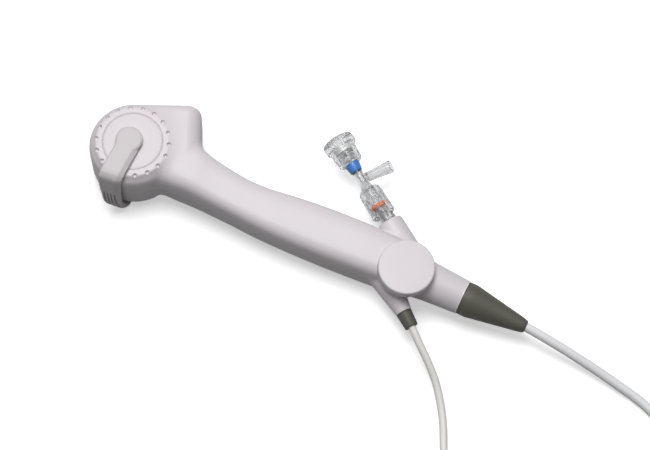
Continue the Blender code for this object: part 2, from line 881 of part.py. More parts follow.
def make_relief():
    frame = aim(cable_mouth, Vector((cos(cable_angle), sin(cable_angle), 0)))
    bore = cable_radius + gap
    profile = ((bore, -relief_spigot_length), (relief_spigot, -relief_spigot_length), (relief_spigot, gap),
               (cable_boss_radius - 0.0001, gap), (relief_end_radius, relief_length - 0.0003),
               (relief_end_radius - 0.0003, relief_length), (bore, relief_length))
    settle(move(turned("cable_relief", profile, 28), frame), "relief_grey", handle)
    end = -relief_spigot_length - gap
    settle(move(ring("cable_clamp", cable_radius + gap, relief_spigot, end - clamp_length, end, 20), frame),
           "steel", handle)
    return frame


relief_frame = make_relief()


# Side adapter: its own frame has Z along the adapter, from the boss outwards

adapter = add_empty("adapter_axis", handle)
adapter.matrix_local = aim(luer_mouth, Vector((cos(luer_angle), sin(luer_angle), 0)))


def make_adapter():
    port = turned("luer_port", (
        (channel_radius, port_root), (port_neck_radius, port_root), (port_neck_radius, gap),
        (port_flange_radius, gap), (port_flange_radius, port_flange_end),
        (port_neck_radius, port_flange_end), (port_neck_radius, port_lug_start),
        (port_lug_radius, port_lug_start), (port_lug_radius, port_end), (port_bore, port_end),
        (port_bore, male_tip - spare), (channel_radius, male_tip - spare)), 20)
    settle(port, "clear", adapter)

    flange_end = male_flange + male_flange_thick
    body = turned("adapter_body", (
        (0, male_tip), (male_radius - 0.0002, male_tip), (male_radius, male_flange),
        (male_flange_radius, male_flange), (male_flange_radius, flange_end), (stem_radius, flange_end),
        (stem_radius, nut_end + gap * 2), (stem_waist, nut_end + 0.0030),
        (neck_radius, collar_start - 0.0010), (neck_radius, collar_end + gap),
        (thread_radius, collar_end + gap * 2), (thread_radius, thread_end), (0, thread_end)), 24)
    turn = (Matrix.Translation((0, 0, arm_place)) @ Matrix.Rotation(arm_roll, 4, "Z")
            @ Matrix.Rotation(arm_turn, 4, "Y"))
    profile = ((0, 0), (arm_bore, 0), (arm_radius, arm_shoulder), (arm_radius, arm_reach - arm_shoulder),
               (arm_flare, arm_reach), (0, arm_reach))
    join(body, move(turned("arm", profile, 20), turn))
    cut(body, rod("bore", body_bore, 0, table, 12))
    cut(body, move(rod("arm_bore", arm_way, spare / 2, table, 16), turn))
    settle(body, "clear", adapter)

    nut = ribbed("luer_nut", (
        (nut_bore, nut_start), (nut_radius + nut_rib, nut_start), (nut_radius + nut_rib, nut_end - 0.0016),
        (stem_radius + 0.0014, nut_end), (stem_radius + gap, nut_end), (stem_radius + gap, nut_floor),
        (nut_bore, nut_floor)), nut_rib, nut_ribs, nut_start, nut_end - 0.0016)
    settle(nut, "clear", adapter, 20)

    seal_ring = torus("seal_ring", seal_ring_major, seal_ring_minor)
    settle(move(seal_ring, Matrix.Translation((0, 0, seal_ring_place))), "orange", adapter)

    blue = turned("blue_collar", (
        (neck_radius + gap, collar_start), (blue_start_radius, collar_start),
        (blue_end_radius, collar_end), (neck_radius + gap, collar_end)), 24)
    settle(blue, "blue", adapter)

    cap = ribbed("seal_cap", (
        (cap_bore, cap_start), (cap_start_radius, cap_start), (cap_waist_radius, cap_flange),
        (cap_radius + cap_rib, cap_flange), (cap_radius + cap_rib, cap_end - 0.0004),
        (cap_radius - 0.0004, cap_end), (cap_mouth + cap_mouth_flare, cap_end),
        (cap_mouth, cap_end - cap_mouth_flare),
        (cap_mouth, cap_floor), (cap_bore, cap_floor)), cap_rib, cap_ribs, cap_flange, cap_end - 0.0004)
    settle(cap, "clear", adapter, 20)

    low = thread_end + gap
    seal = ring("inner_seal", body_bore - 0.0003, seal_radius, low, low + seal_length, 20)
    settle(seal, "bush_white", adapter)


make_adapter()


# Insertion tube

def coil_ring(name, centre, turn_radius, radius, rows, lift, colour):
    """The outer shape of a coil of cord, with as many turns across as up."""
    half = rows * radius
    low, high = lift, lift + 2 * half
    profile = ((turn_radius - half, low), (turn_radius + half - radius / 2, low),
               (turn_radius + half, low + radius / 2), (turn_radius + half, high - radius / 2),
               (turn_radius + half - radius / 2, high), (turn_radius - half, high))
    item = turned(name, profile, 36)
    move(item, Matrix.Translation((*centre, 0)))
    return settle(item, colour)


def outer_turn(turn_radius, radius, rows):
    return turn_radius + (rows - 1) * radius


def reach_to_coil(turn_radius, radius, rows):
    """How far before its tangent point a cord meets the outside of its coil."""
    turn = outer_turn(turn_radius, radius, rows)
    return sqrt((turn + radius + gap) ** 2 - (turn - radius) ** 2)


def make_insertion_tube():
    turn = outer_turn(tube_coil_turn, tube_radius, tube_coil_rows)
    stop = reach_to_coil(tube_coil_turn, tube_radius, tube_coil_rows)
    centre = Vector((*tube_coil_centre, 0))
    out = Vector((cos(tube_coil_entry), sin(tube_coil_entry), 0))
    along = Vector((-out.y, out.x, 0))
    meet = centre + out * turn - along * stop + Vector((0, 0, tube_radius))
    start = [to_world(tube_start_x, tail_y), to_world(tail_x + 0.010, tail_y), to_world(cone_end_x, tail_y)]
    points = smooth_path(start + [Vector(point) for point in tube_route] + [meet], 0.0095)
    cord("insertion_tube", points, tube_radius, "tube_grey", 3)
    coil_ring("insertion_coil", tube_coil_centre, tube_coil_turn, tube_radius, tube_coil_rows, 0, "tube_grey")

    # From the top of the coil the tube runs straight along +Y and down to the table
    high = tube_radius * (2 * tube_coil_rows - 1)
    x = tube_coil_centre[0] + turn
    first = tube_coil_centre[1] + stop
    last = tube_coil_centre[1] + tube_straight
    middle = (first + last) / 2
    route = ((x, first, high), (x, first * 0.72 + last * 0.28, high * 0.8 + tube_radius * 0.2),
             (x, middle, tube_radius * 1.3), (x, first * 0.2 + last * 0.8, tube_radius),
             (x, last - link_gap, tube_radius))
    cord("insertion_tube_end", smooth_path(route, 0.009), tube_radius, "tube_grey", 3)

    # Links of the bending section, each with its origin on its own pivot
    slope = tan(link_bend / 2 + radians(2))
    flat = 0.0006
    nose = link_gap / 2
    back = (tube_radius - flat) * slope
    for number in range(link_count):
        end = link_pitch - nose
        profile = ((0, nose), (flat, nose), (tube_radius, nose + back), (tube_radius, end - back),
                   (flat, end), (0, end))
        link = turned("bending_link_%d" % (number + 1), profile, 16)
        move(link, Matrix.Rotation(-pi / 2, 4, "X"))
        settle(link, "tube_grey")
        link.location = (x, last + number * link_pitch, tube_radius)
    end = last + link_count * link_pitch
    front = tip_length - 0.0008
    profile = ((0, nose), (flat, nose), (tube_radius, nose + back), (tube_radius, tip_length * 0.4),
               (tip_radius, tip_length * 0.45), (tip_radius, front), (tip_radius - 0.0008, tip_length),
               (lens_radius + gap, tip_length), (lens_radius + gap, tip_length - lens_depth - gap),
               (0, tip_length - lens_depth - gap))
    tip = turned("distal_tip", profile, 20)
    move(tip, Matrix.Rotation(-pi / 2, 4, "X"))
    settle(tip, "tip_grey")
    tip.location = (x, end - 0.0001, tube_radius)
    lens = rod("tip_lens", lens_radius, tip_length - lens_depth, tip_length, 12)
    move(lens, Matrix.Rotation(-pi / 2, 4, "X"))
    settle(lens, "glass")
    lens.location = tip.location


make_insertion_tube()


# Cable, its coil, ties and plug

def make_cable():
    turn = outer_turn(cable_coil_turn, cable_radius, cable_coil_rows)
    stop = reach_to_coil(cable_coil_turn, cable_radius, cable_coil_rows)
    low = cable_coil_lift + cable_radius
    high = cable_coil_lift + cable_radius * (2 * cable_coil_rows - 1)
    meet = Vector((cable_coil_centre[0] - turn, cable_coil_centre[1] + stop, low))
    root = handle_matrix @ relief_frame @ Vector((0, 0, -relief_spigot_length - clamp_length - gap))
    mouth = handle_matrix @ relief_frame @ Vector((0, 0, relief_length))
    points = smooth_path([root, mouth] + [Vector(point) for point in cable_route] + [meet], 0.0080)
    cord("cable", points, cable_radius, "cable_white")
    coil_ring("cable_coil", cable_coil_centre, cable_coil_turn, cable_radius, cable_coil_rows,
              cable_coil_lift, "cable_white")

    # The last turn leaves the top of the coil along +X and comes down to the plug
    y = cable_coil_centre[1] - turn
    first = cable_coil_centre[0] + stop
    last = cable_coil_centre[0] + plug_start
    middle = (first + last) / 2
    route = ((first, y, high), (middle - 0.002, y, (high + plug_radius) / 2), (last - 0.004, y, plug_radius),
             (last, y, plug_radius), (last + 0.004, y, plug_radius))
    cord("cable_end", smooth_path(route, 0.007), cable_radius, "cable_white")

    # Two straps hold the coil and lift it off the table by their own thickness
    inner = cable_coil_rows * cable_radius + gap
    inner_side = inner + tie_slack
    outer, outer_side = inner + tie_thick, inner_side + tie_thick
    centre_z = cable_coil_lift + cable_coil_rows * cable_radius
    for number, angle in enumerate((radians(35), radians(215)), 1):
        strap = block("tie_strap_%d" % number, (-outer_side, -tie_width / 2, -outer),
                      (outer_side, tie_width / 2, outer))
        cut(strap, block("inside", (-inner_side, -table, -inner), (inner_side, table, inner)))
        out = Vector((cos(angle), sin(angle), 0)) * cable_coil_turn
        place = Matrix.Translation(Vector((*cable_coil_centre, centre_z)) + out)
        move(strap, place @ Matrix.Rotation(angle, 4, "Z"))
        settle(strap, "rubber")

    plug = add_empty("plug_axis")
    plug.location = (last, y, plug_radius)
    plug.rotation_euler = Euler((0, pi / 2, 0))
    bore = cable_radius + gap
    boot = turned("plug_boot", (
        (bore, 0), (boot_end_radius - 0.0003, 0), (boot_end_radius, 0.0006),
        (boot_radius, boot_length - 0.002), (boot_radius, boot_length), (bore, boot_length)), 24)
    settle(boot, "relief_grey", plug)
    start = boot_length + gap
    end = start + plug_length
    body = turned("plug_body", (
        (0, start), (plug_radius - plug_edge, start), (plug_radius, start + plug_edge),
        (plug_radius, start + plug_shoulder), (plug_radius - sleeve_seat, start + plug_shoulder),
        (plug_radius - sleeve_seat, end), (0, end)), 28)
    settle(body, "cable_white", plug)
    low = start + plug_shoulder + gap + sleeve_travel
    sleeve = ribbed("latch_sleeve", (
        (plug_radius - sleeve_seat + gap, low), (plug_radius, low), (plug_radius, low + sleeve_length),
        (plug_radius - sleeve_seat + gap, low + sleeve_length)),
        sleeve_rib, sleeve_ribs, low, low + sleeve_length)
    settle(sleeve, "steel", plug, 20)
    low = end + gap
    insert = ring("plug_insert", insert_radius - insert_wall, insert_radius, low, low + insert_length, 24)
    settle(insert, "brass", plug)


make_cable()
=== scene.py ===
import json
from math import acos, atan2, cos, pi, radians, sin, sqrt

import bmesh
import bpy
import numpy
from mathutils import Matrix, Vector


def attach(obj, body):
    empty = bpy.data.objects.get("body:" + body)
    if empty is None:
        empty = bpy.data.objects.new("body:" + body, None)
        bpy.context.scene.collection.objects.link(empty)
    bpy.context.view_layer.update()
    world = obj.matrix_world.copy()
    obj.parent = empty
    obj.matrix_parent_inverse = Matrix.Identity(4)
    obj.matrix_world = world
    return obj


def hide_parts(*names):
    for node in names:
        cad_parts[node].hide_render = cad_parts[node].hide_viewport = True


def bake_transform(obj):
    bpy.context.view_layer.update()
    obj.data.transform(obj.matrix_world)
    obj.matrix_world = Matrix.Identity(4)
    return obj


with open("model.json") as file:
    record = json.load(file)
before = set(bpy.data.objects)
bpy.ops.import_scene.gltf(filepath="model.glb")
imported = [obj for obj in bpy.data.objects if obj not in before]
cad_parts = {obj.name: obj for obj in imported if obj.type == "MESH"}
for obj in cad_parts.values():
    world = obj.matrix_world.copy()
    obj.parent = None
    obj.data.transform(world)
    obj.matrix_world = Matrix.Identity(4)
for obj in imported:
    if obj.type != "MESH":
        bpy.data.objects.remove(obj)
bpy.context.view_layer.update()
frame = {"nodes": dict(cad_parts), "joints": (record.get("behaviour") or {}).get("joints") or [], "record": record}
print("frame loaded:", len(frame["nodes"]), "nodes")


def addItem(name, data):
    item = bpy.data.objects.new(name, data)
    bpy.context.scene.collection.objects.link(item)
    return item


# Camera: straight over the handle, tipped back from the vertical as in the photograph
cameraView = {
    "target": (0.0852, -0.0281, 0.0),
    "distance": 0.95,
    "elevation": radians(70),
    "lens": 116.9,
    "sensor": 36.0,
}


def makeCamera():
    data = bpy.data.cameras.new("camera")
    data.lens = cameraView["lens"]
    data.sensor_width = cameraView["sensor"]
    camera = addItem("camera", data)
    up = cameraView["elevation"]
    back = Vector((0, -cos(up), sin(up)))
    camera.location = Vector(cameraView["target"]) + back * cameraView["distance"]
    camera.rotation_euler = (pi / 2 - up, 0, 0)
    bpy.context.scene.camera = camera


makeCamera()

# The handle's own frame: x along the grip, z along the lever's axis
leverJoint = next(joint for joint in frame["joints"] if joint["name"] == "lever_turn")
leverAxis = Vector(leverJoint["axis"])
handleTurn = atan2(leverAxis.y, leverAxis.x)
handleMatrix = (Matrix.Translation(Vector(leverJoint["pos_m"])) @ Matrix.Rotation(handleTurn, 4, "Z")
                @ Matrix.Rotation(acos(leverAxis.z), 4, "Y"))
gap = 0.0003  # between pieces that touch
tight = 0.0001  # between pieces that fit closely
far = 0.3  # longer than the object in any direction


# Finishes
finishes = {
    "shellPlastic": {"colour": (0.725, 0.680, 0.712), "drift": 0.985, "driftScale": 55,
                     "roughness": (0.40, 0.50), "grainScale": 2400, "grain": 0.10, "coat": 0.06},
    "leverPlastic": {"colour": (0.640, 0.610, 0.618), "drift": 0.975, "driftScale": 90,
                     "roughness": (0.44, 0.56), "grainScale": 2900, "grain": 0.16},
    "reliefRubber": {"colour": (0.096, 0.094, 0.074), "drift": 0.88, "driftScale": 130,
                     "roughness": (0.46, 0.60), "grainScale": 1900, "grain": 0.25},
    "bluePlastic": {"colour": (0.060, 0.230, 0.680), "drift": 0.92, "driftScale": 200,
                    "roughness": (0.24, 0.34), "grainScale": 2200, "grain": 0.08, "coat": 0.3},
    "orangeRubber": {"colour": (0.850, 0.145, 0.002), "drift": 0.90, "driftScale": 260,
                     "roughness": (0.34, 0.46), "grainScale": 2600, "grain": 0.12},
    "tubeSheath": {"colour": (0.870, 0.872, 0.882), "drift": 0.97, "driftScale": 70,
                   "roughness": (0.30, 0.42), "grainScale": 1700, "grain": 0.10, "coat": 0.15},
    "bendRubber": {"colour": (0.470, 0.480, 0.500), "drift": 0.93, "driftScale": 160,
                   "roughness": (0.46, 0.60), "grainScale": 1900, "grain": 0.22},
    "cableSheath": {"colour": (0.900, 0.872, 0.838), "drift": 0.97, "driftScale": 80,
                    "roughness": (0.42, 0.52), "grainScale": 1500, "grain": 0.14},
    "bushPlastic": {"colour": (0.800, 0.800, 0.770), "drift": 0.96, "driftScale": 150,
                    "roughness": (0.36, 0.48), "grainScale": 2100, "grain": 0.10},
    "blackRubber": {"colour": (0.030, 0.030, 0.030), "drift": 0.80, "driftScale": 200,
                    "roughness": (0.58, 0.72), "grainScale": 1700, "grain": 0.22},
    "boardGreen": {"colour": (0.020, 0.190, 0.080), "drift": 0.70, "driftScale": 700,
                   "roughness": (0.34, 0.50), "grainScale": 1500, "grain": 0.15},
    "turnedSteel": {"colour": (0.560, 0.560, 0.570), "drift": 0.88, "driftScale": 260, "metal": 1.0,
                    "roughness": (0.20, 0.34), "grainScale": 2600, "grain": 0.14, "stretch": (1, 1, 14)},
    "platedBrass": {"colour": (0.780, 0.570, 0.240), "drift": 0.90, "driftScale": 260, "metal": 1.0,
                    "roughness": (0.18, 0.30), "grainScale": 2600, "grain": 0.10, "stretch": (1, 1, 10)},
    "clearPlastic": {"colour": (0.900, 0.905, 0.915), "drift": 0.97, "driftScale": 240,
                     "roughness": (0.06, 0.13), "grainScale": 900, "grain": 0.06, "clear": 0.96,
                     "index": 1.30},
    "tipPlastic": {"colour": (0.300, 0.305, 0.315), "drift": 0.90, "driftScale": 400,
                   "roughness": (0.32, 0.46), "grainScale": 2600, "grain": 0.12, "coat": 0.1},
    "rimPlastic": {"colour": (0.930, 0.930, 0.930), "drift": 0.98, "driftScale": 200,
                   "roughness": (0.26, 0.36), "grainScale": 2200, "grain": 0.06, "coat": 0.3},
    "lensGlass": {"colour": (0.020, 0.030, 0.045), "drift": 0.80, "driftScale": 900,
                  "roughness": (0.03, 0.06), "grainScale": 1500, "grain": 0.02, "coat": 1.0},
}


def setInputs(node, values):
    for name, value in dict(values).items():
        node.inputs[name].default_value = value
    return node


def addNode(tree, kind, values=()):
    return setInputs(tree.nodes.new("ShaderNode" + kind), values)


def makeFinish(name, look):
    material = bpy.data.materials.new(name)
    material.use_nodes = True
    tree = material.node_tree
    link = tree.links.new
    place = addNode(tree, "TexCoord")
    spread = addNode(tree, "Mapping", {"Scale": look.get("stretch", (1, 1, 1))})
    link(place.outputs["Object"], spread.inputs["Vector"])

    cloud = addNode(tree, "TexNoise", {"Scale": look["driftScale"], "Detail": 4})  # drift of tone and polish
    tone = addNode(tree, "Mix")
    tone.data_type = "RGBA"
    pale, deep = tone.inputs[6], tone.inputs[7]
    pale.default_value = (*look["colour"], 1)
    deep.default_value = (*(part * look["drift"] for part in look["colour"]), 1)
    polish = addNode(tree, "MapRange", zip(("To Min", "To Max"), look["roughness"]))
    grain = addNode(tree, "TexNoise", {"Scale": look["grainScale"], "Detail": 2})  # mould or sheath grain
    bump = addNode(tree, "Bump", {"Strength": look["grain"], "Distance": 0.0001})
    shader = setInputs(tree.nodes["Principled BSDF"], {
        "Metallic": look.get("metal", 0), "Coat Weight": look.get("coat", 0), "Coat Roughness": 0.25,
        "Transmission Weight": look.get("clear", 0), "IOR": look.get("index", 1.46)})
    link(spread.outputs["Vector"], cloud.inputs["Vector"])
    link(cloud.outputs["Fac"], tone.inputs["Factor"])
    link(cloud.outputs["Fac"], polish.inputs["Value"])
    link(tone.outputs[2], shader.inputs["Base Color"])
    link(polish.outputs["Result"], shader.inputs["Roughness"])
    link(spread.outputs["Vector"], grain.inputs["Vector"])
    link(grain.outputs["Fac"], bump.inputs["Height"])
    link(bump.outputs["Normal"], shader.inputs["Normal"])
    return material


materials = {name: makeFinish(name, look) for name, look in finishes.items()}


# Shapes
def smoothPath(points, step):
    points = [Vector(point) for point in points]
    ends = [points[0] * 2 - points[1]] + points + [points[-1] * 2 - points[-2]]
    path = [points[0]]
    for i in range(1, len(ends) - 2):
        before, start, end, after = ends[i - 1:i + 3]
        count = max(1, round((end - start).length / step))
        for k in range(1, count + 1):
            t = k / count
            path.append(0.5 * (2 * start + (end - before) * t
                               + (2 * before - 5 * start + 4 * end - after) * t * t
                               + (3 * start - before - 3 * end + after) * t ** 3))
    return path


def ease(share):
    share = min(1.0, max(0.0, share))
    return share * share * (3 - 2 * share)


def aim(start, direction):
    turn = Vector((0, 0, 1)).rotation_difference(Vector(direction)).to_matrix().to_4x4()
    return Matrix.Translation(Vector(start)) @ turn


def rounded(corners, closed=False, steps=4):  # corners: (radius, height, size of the rounding)
    points = []
    count = len(corners)
    for i, (x, y, size) in enumerate(corners):
        here = Vector((x, y))
        if size <= 0 or (not closed and i in (0, count - 1)):
            points.append(here)
            continue
        start = here + (Vector(corners[i - 1][:2]) - here).normalized() * size
        end = here + (Vector(corners[(i + 1) % count][:2]) - here).normalized() * size
        for k in range(steps + 1):
            t = k / steps
            points.append(start * (1 - t) ** 2 + here * 2 * t * (1 - t) + end * t * t)
    return points


def lathe(profile, segments=64, wave=None):  # wave(radius, height, angle) adds to the radius
    bm = bmesh.new()
    rows = []
    for radius, height in profile:
        if radius < 1e-7:
            rows.append([bm.verts.new((0, 0, height))])
            continue
        row = []
        for i in range(segments):
            angle = 2 * pi * i / segments
            reach = radius + (wave(radius, height, angle) if wave else 0)
            row.append(bm.verts.new((reach * cos(angle), reach * sin(angle), height)))
        rows.append(row)
    pairs = list(zip(rows, rows[1:]))
    if len(rows[0]) > 1:
        pairs.append((rows[-1], rows[0]))
    for low, high in pairs:
        for i in range(segments):
            j = (i + 1) % segments
            if len(low) == 1:
                bm.faces.new((low[0], high[i], high[j]))
            elif len(high) == 1:
                bm.faces.new((low[i], low[j], high[0]))
            else:
                bm.faces.new((low[i], low[j], high[j], high[i]))
    return bm


def rod(radius, low, high, segments=48):
    return lathe(((0, low), (radius, low), (radius, high), (0, high)), segments)


def turned(corners, segments, closed=False, steps=4, wave=None):
    return lathe(rounded(corners, closed, steps), segments, wave)


def loft(rows, ring=False):  # a ring joins its last row to its first, other lofts close both ends
    bm = bmesh.new()
    rows = [[bm.verts.new(point) for point in row] for row in rows]
    count = len(rows[0])
    for low, high in zip(rows, rows[1:] + rows[:1] if ring else rows[1:]):
        for i in range(count):
            bm.faces.new((low[i], low[(i + 1) % count], high[(i + 1) % count], high[i]))
    if not ring:
        bm.faces.new(rows[0])
        bm.faces.new(rows[-1])
    return bm


def box(low, high):
    bm = bmesh.new()
    bmesh.ops.create_cube(bm, size=1.0)
    low, high = Vector(low), Vector(high)
    bmesh.ops.scale(bm, vec=high - low, verts=bm.verts)
    bmesh.ops.translate(bm, vec=(low + high) / 2, verts=bm.verts)
    return bm


def shift(bm, matrix):
    bmesh.ops.transform(bm, matrix=matrix, verts=bm.verts)
    return bm


def moved(bm, x, y, z=0):
    return shift(bm, Matrix.Translation((x, y, z)))


def laid(x, y, z):  # the turning axis laid along x
    return Matrix.Translation((x, y, z)) @ Matrix.Rotation(pi / 2, 4, "Y")


def toMesh(name, bm):
    mesh = bpy.data.meshes.new(name)
    bm.to_mesh(mesh)
    bm.free()
    return mesh


def addObject(name, bm):
    bmesh.ops.recalc_face_normals(bm, faces=bm.faces)
    return addItem(name, toMesh(name, bm))


def addAll(name, parts):
    whole = bmesh.new()
    for part in parts:
        bmesh.ops.recalc_face_normals(part, faces=part.faces)
        mesh = toMesh("part", part)
        whole.from_mesh(mesh)
        bpy.data.meshes.remove(mesh)
    return addItem(name, toMesh(name, whole))


def settleModifiers(item):
    bpy.context.view_layer.update()
    graph = bpy.context.evaluated_depsgraph_get()
    mesh = bpy.data.meshes.new_from_object(item.evaluated_get(graph))
    item.modifiers.clear()
    old = item.data
    item.data = mesh
    bpy.data.meshes.remove(old)
    return item


def fuse(name, parts, grid, passes):  # one even skin over several solids, with soft inner corners
    item = addAll(name, parts)
    skin = item.modifiers.new("skin", "REMESH")
    skin.mode = "VOXEL"
    skin.voxel_size = grid
    soften = item.modifiers.new("soften", "SMOOTH")
    soften.factor = 0.5
    soften.iterations = passes
    return settleModifiers(item)


def fillHollows(item, passes, shareAt):  # lets inner corners flow outward into wide fillets
    mesh = item.data
    count = len(mesh.vertices)
    places = numpy.empty(count * 3)
    mesh.vertices.foreach_get("co", places)
    places = places.reshape(count, 3)
    edges = numpy.empty(len(mesh.edges) * 2, dtype=numpy.int32)
    mesh.edges.foreach_get("vertices", edges)
    first, second = edges[0::2], edges[1::2]
    valence = numpy.bincount(edges, minlength=count)
    share = numpy.array([shareAt(*place) for place in places])
    normals = numpy.empty(count * 3)
    for number in range(passes):
        if number % 20 == 0:
            mesh.vertices.foreach_set("co", places.ravel())
            mesh.update()
            mesh.vertex_normals.foreach_get("vector", normals)
            facing = normals.reshape(count, 3)
        sums = [numpy.bincount(first, places[second, k], count)
                + numpy.bincount(second, places[first, k], count) for k in range(3)]
        mean = numpy.stack([total / valence for total in sums], 1)
        outward = ((mean - places) * facing).sum(1).clip(min=0) * share
        places += facing * outward[:, None]
    mesh.vertices.foreach_set("co", places.ravel())
    mesh.update()


def carve(item, bm, operation="DIFFERENCE"):
    tool = bm if isinstance(bm, bpy.types.Object) else addObject("tool", bm)
    step = item.modifiers.new("carve", "BOOLEAN")
    step.solver = "MANIFOLD"
    step.operation = operation
    step.object = tool
    settleModifiers(item)
    bpy.data.objects.remove(tool, do_unlink=True)
    return item


def finishMesh(item, place, finish, sharp):
    item.data.transform(place)
    item.data.materials.clear()
    item.data.materials.append(materials[finish])
    item.data.shade_smooth()
    item.data.set_sharp_from_angle(angle=radians(sharp))


def dress(item, place, finish, slot, body="handle", replaces=(), sharp=35):
    finishMesh(item, place, finish, sharp)
    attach(item, body)
    if replaces:
        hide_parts(*replaces)
    return item


def addPiece(name, bm, *look, **more):
    return dress(addObject(name, bm), *look, **more)


# Cords
def addCord(name, points, radius, finish, body):
    curve = bpy.data.curves.new(name, "CURVE")
    curve.dimensions = "3D"
    curve.bevel_depth = radius
    curve.bevel_resolution = 6
    curve.use_fill_caps = True
    spline = curve.splines.new("POLY")
    spline.points.add(len(points) - 1)
    for place, point in zip(spline.points, points):
        place.co = (*point, 1.0)
    spline.use_smooth = True
    curve.materials.append(materials[finish])
    item = addItem(name, curve)
    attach(item, body)
    return item


def pathLength(points):
    return sum((b - a).length for a, b in zip(points, points[1:]))


def coilPath(coil):  # turns beside and on each other, each shifting over near its end
    thick = 2 * coil["radius"]
    columns, layers = coil["columns"], coil["layers"]
    outer = coil["middle"] + (columns - 1) * coil["radius"]
    period = 2 * pi * coil["turns"] / (columns * layers)
    count = round(coil["turns"] * coil["perTurn"])

    def seat(number):
        layer, column = divmod(min(number, columns * layers - 1), columns)
        if layer % 2:
            column = columns - 1 - column
        return Vector((outer - column * thick, coil["low"] + layer * thick))

    points = []
    for i in range(count + 1):
        swept = 2 * pi * coil["turns"] * i / count
        number = min(int(swept / period), columns * layers - 1)
        share = ease((swept - number * period - period + coil["shift"]) / coil["shift"])
        radius, height = seat(number).lerp(seat(number + 1), share)
        angle = coil["entry"] + swept
        points.append(Vector((coil["centre"][0] + radius * cos(angle),
                              coil["centre"][1] + radius * sin(angle), height)))
    return points


def reachToCoil(coil):  # how far before its tangent point a cord meets the outside of its coil
    turn = coil["middle"] + (coil["columns"] - 1) * coil["radius"]
    return sqrt((turn + coil["radius"] + gap) ** 2 - (coil["middle"] - coil["radius"]) ** 2)


tail = {"y": 0.0043, "x": 0.1600, "coneEnd": 0.1904, "coneLip": 0.0036, "lipRadius": 0.0076,
        "endRadius": 0.0028, "bore": 0.0061, "spigotWall": 0.0016, "spigotLength": 0.0050,
        "rimRadius": 0.0078, "rim": (-0.00045, 0.00015)}
tube = {
    "radius": 0.0021,
    "inside": (0.0040, 0.0150),  # two places inside the tail, from its mouth
    "route": ((0.1827, -0.0851, 0.0099), (0.1917, -0.0903, 0.0082), (0.2052, -0.0985, 0.0050),
              (0.2148, -0.1050, 0.0032), (0.2228, -0.1109, 0.0023)),
    "coil": {"centre": (0.2657, -0.1148), "middle": 0.0231, "radius": 0.0021, "low": 0.0021, "columns": 2,
             "layers": 2, "entry": radians(-131), "turns": 1211 / 360, "shift": radians(57), "perTurn": 40},
    "straight": 0.0500,
    "step": 0.004,
    "linkCount": 8,
    "linkPitch": 0.0056,
    "sleeveRows": 9,
    "ripples": 3,
    "ripple": 0.00006,
    "tipLength": 0.0090,
}


def makeInsertionTube():
    coil, radius = tube["coil"], tube["radius"]
    turns = coilPath(coil)
    start = [handleMatrix @ Vector((x, tail["y"], 0))
             for x in (*(tail["x"] + inside for inside in tube["inside"]), tail["coneEnd"])]
    along = (turns[1] - turns[0]).normalized()
    meet = turns[0] - along * reachToCoil(coil)
    points = smoothPath([*start, *tube["route"], meet], tube["step"]) + turns[:-1]
    x, y, high = turns[-1].x, coil["centre"][1], turns[-1].z
    first, last = y + reachToCoil(coil), y + tube["straight"]
    route = [(x, y, high), (x, first, high)]  # off the coil, down to the floor and straight on
    for share, height in ((0.28, high * 0.8 + radius * 0.2), (0.50, radius * 1.3), (0.80, radius)):
        route.append((x, first + (last - first) * share, height))
    route.append((x, last - tube["linkPitch"] / 2, radius))
    points += smoothPath(route, tube["step"])
    cord = addCord("insertionTube", points, radius, "tubeSheath", "handle")
    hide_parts("insertion_tube", "insertion_coil", "insertion_tube_end")
    return cord, points, Vector((x, last, radius))


def makeBendingSection(pivot):
    pitch, rows = tube["linkPitch"], tube["sleeveRows"]
    pieces = []
    for number in range(tube["linkCount"] + 1):  # each sleeve sits centred on one pivot
        low, high = -pitch / 2, pitch / 2 if number < tube["linkCount"] else 0.0
        profile = [(0, low)]
        for i in range(rows + 1):
            ripple = tube["ripple"] * (cos(2 * pi * i / rows * tube["ripples"]) - 1)
            profile.append((tube["radius"] + ripple, low + (high - low) * i / rows))
        profile.append((0, high))
        item = addObject("bendingSleeve%d" % (number + 1), lathe(profile, 40))
        place = pivot + Vector((0, pitch * number, 0))
        finishMesh(item, Matrix.Translation(place) @ Matrix.Rotation(-pi / 2, 4, "X"), "bendRubber", 60)
        if number < tube["linkCount"]:
            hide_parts("bending_link_%d" % (number + 1))
            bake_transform(item)
        else:
            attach(item, "link_%d" % number)
        pieces.append(item)
    return pieces


tip = {"radius": 0.0019, "shoulder": 0.0020, "band": 0.0021, "lens": 0.0008, "lensDepth": 0.0006,
       "holeDepth": 0.0012,
       "holes": (  # reach, angle, radius
           (0.00125, 90, 0.00050), (0.00125, 200, 0.00035), (0.00125, 340, 0.00035))}


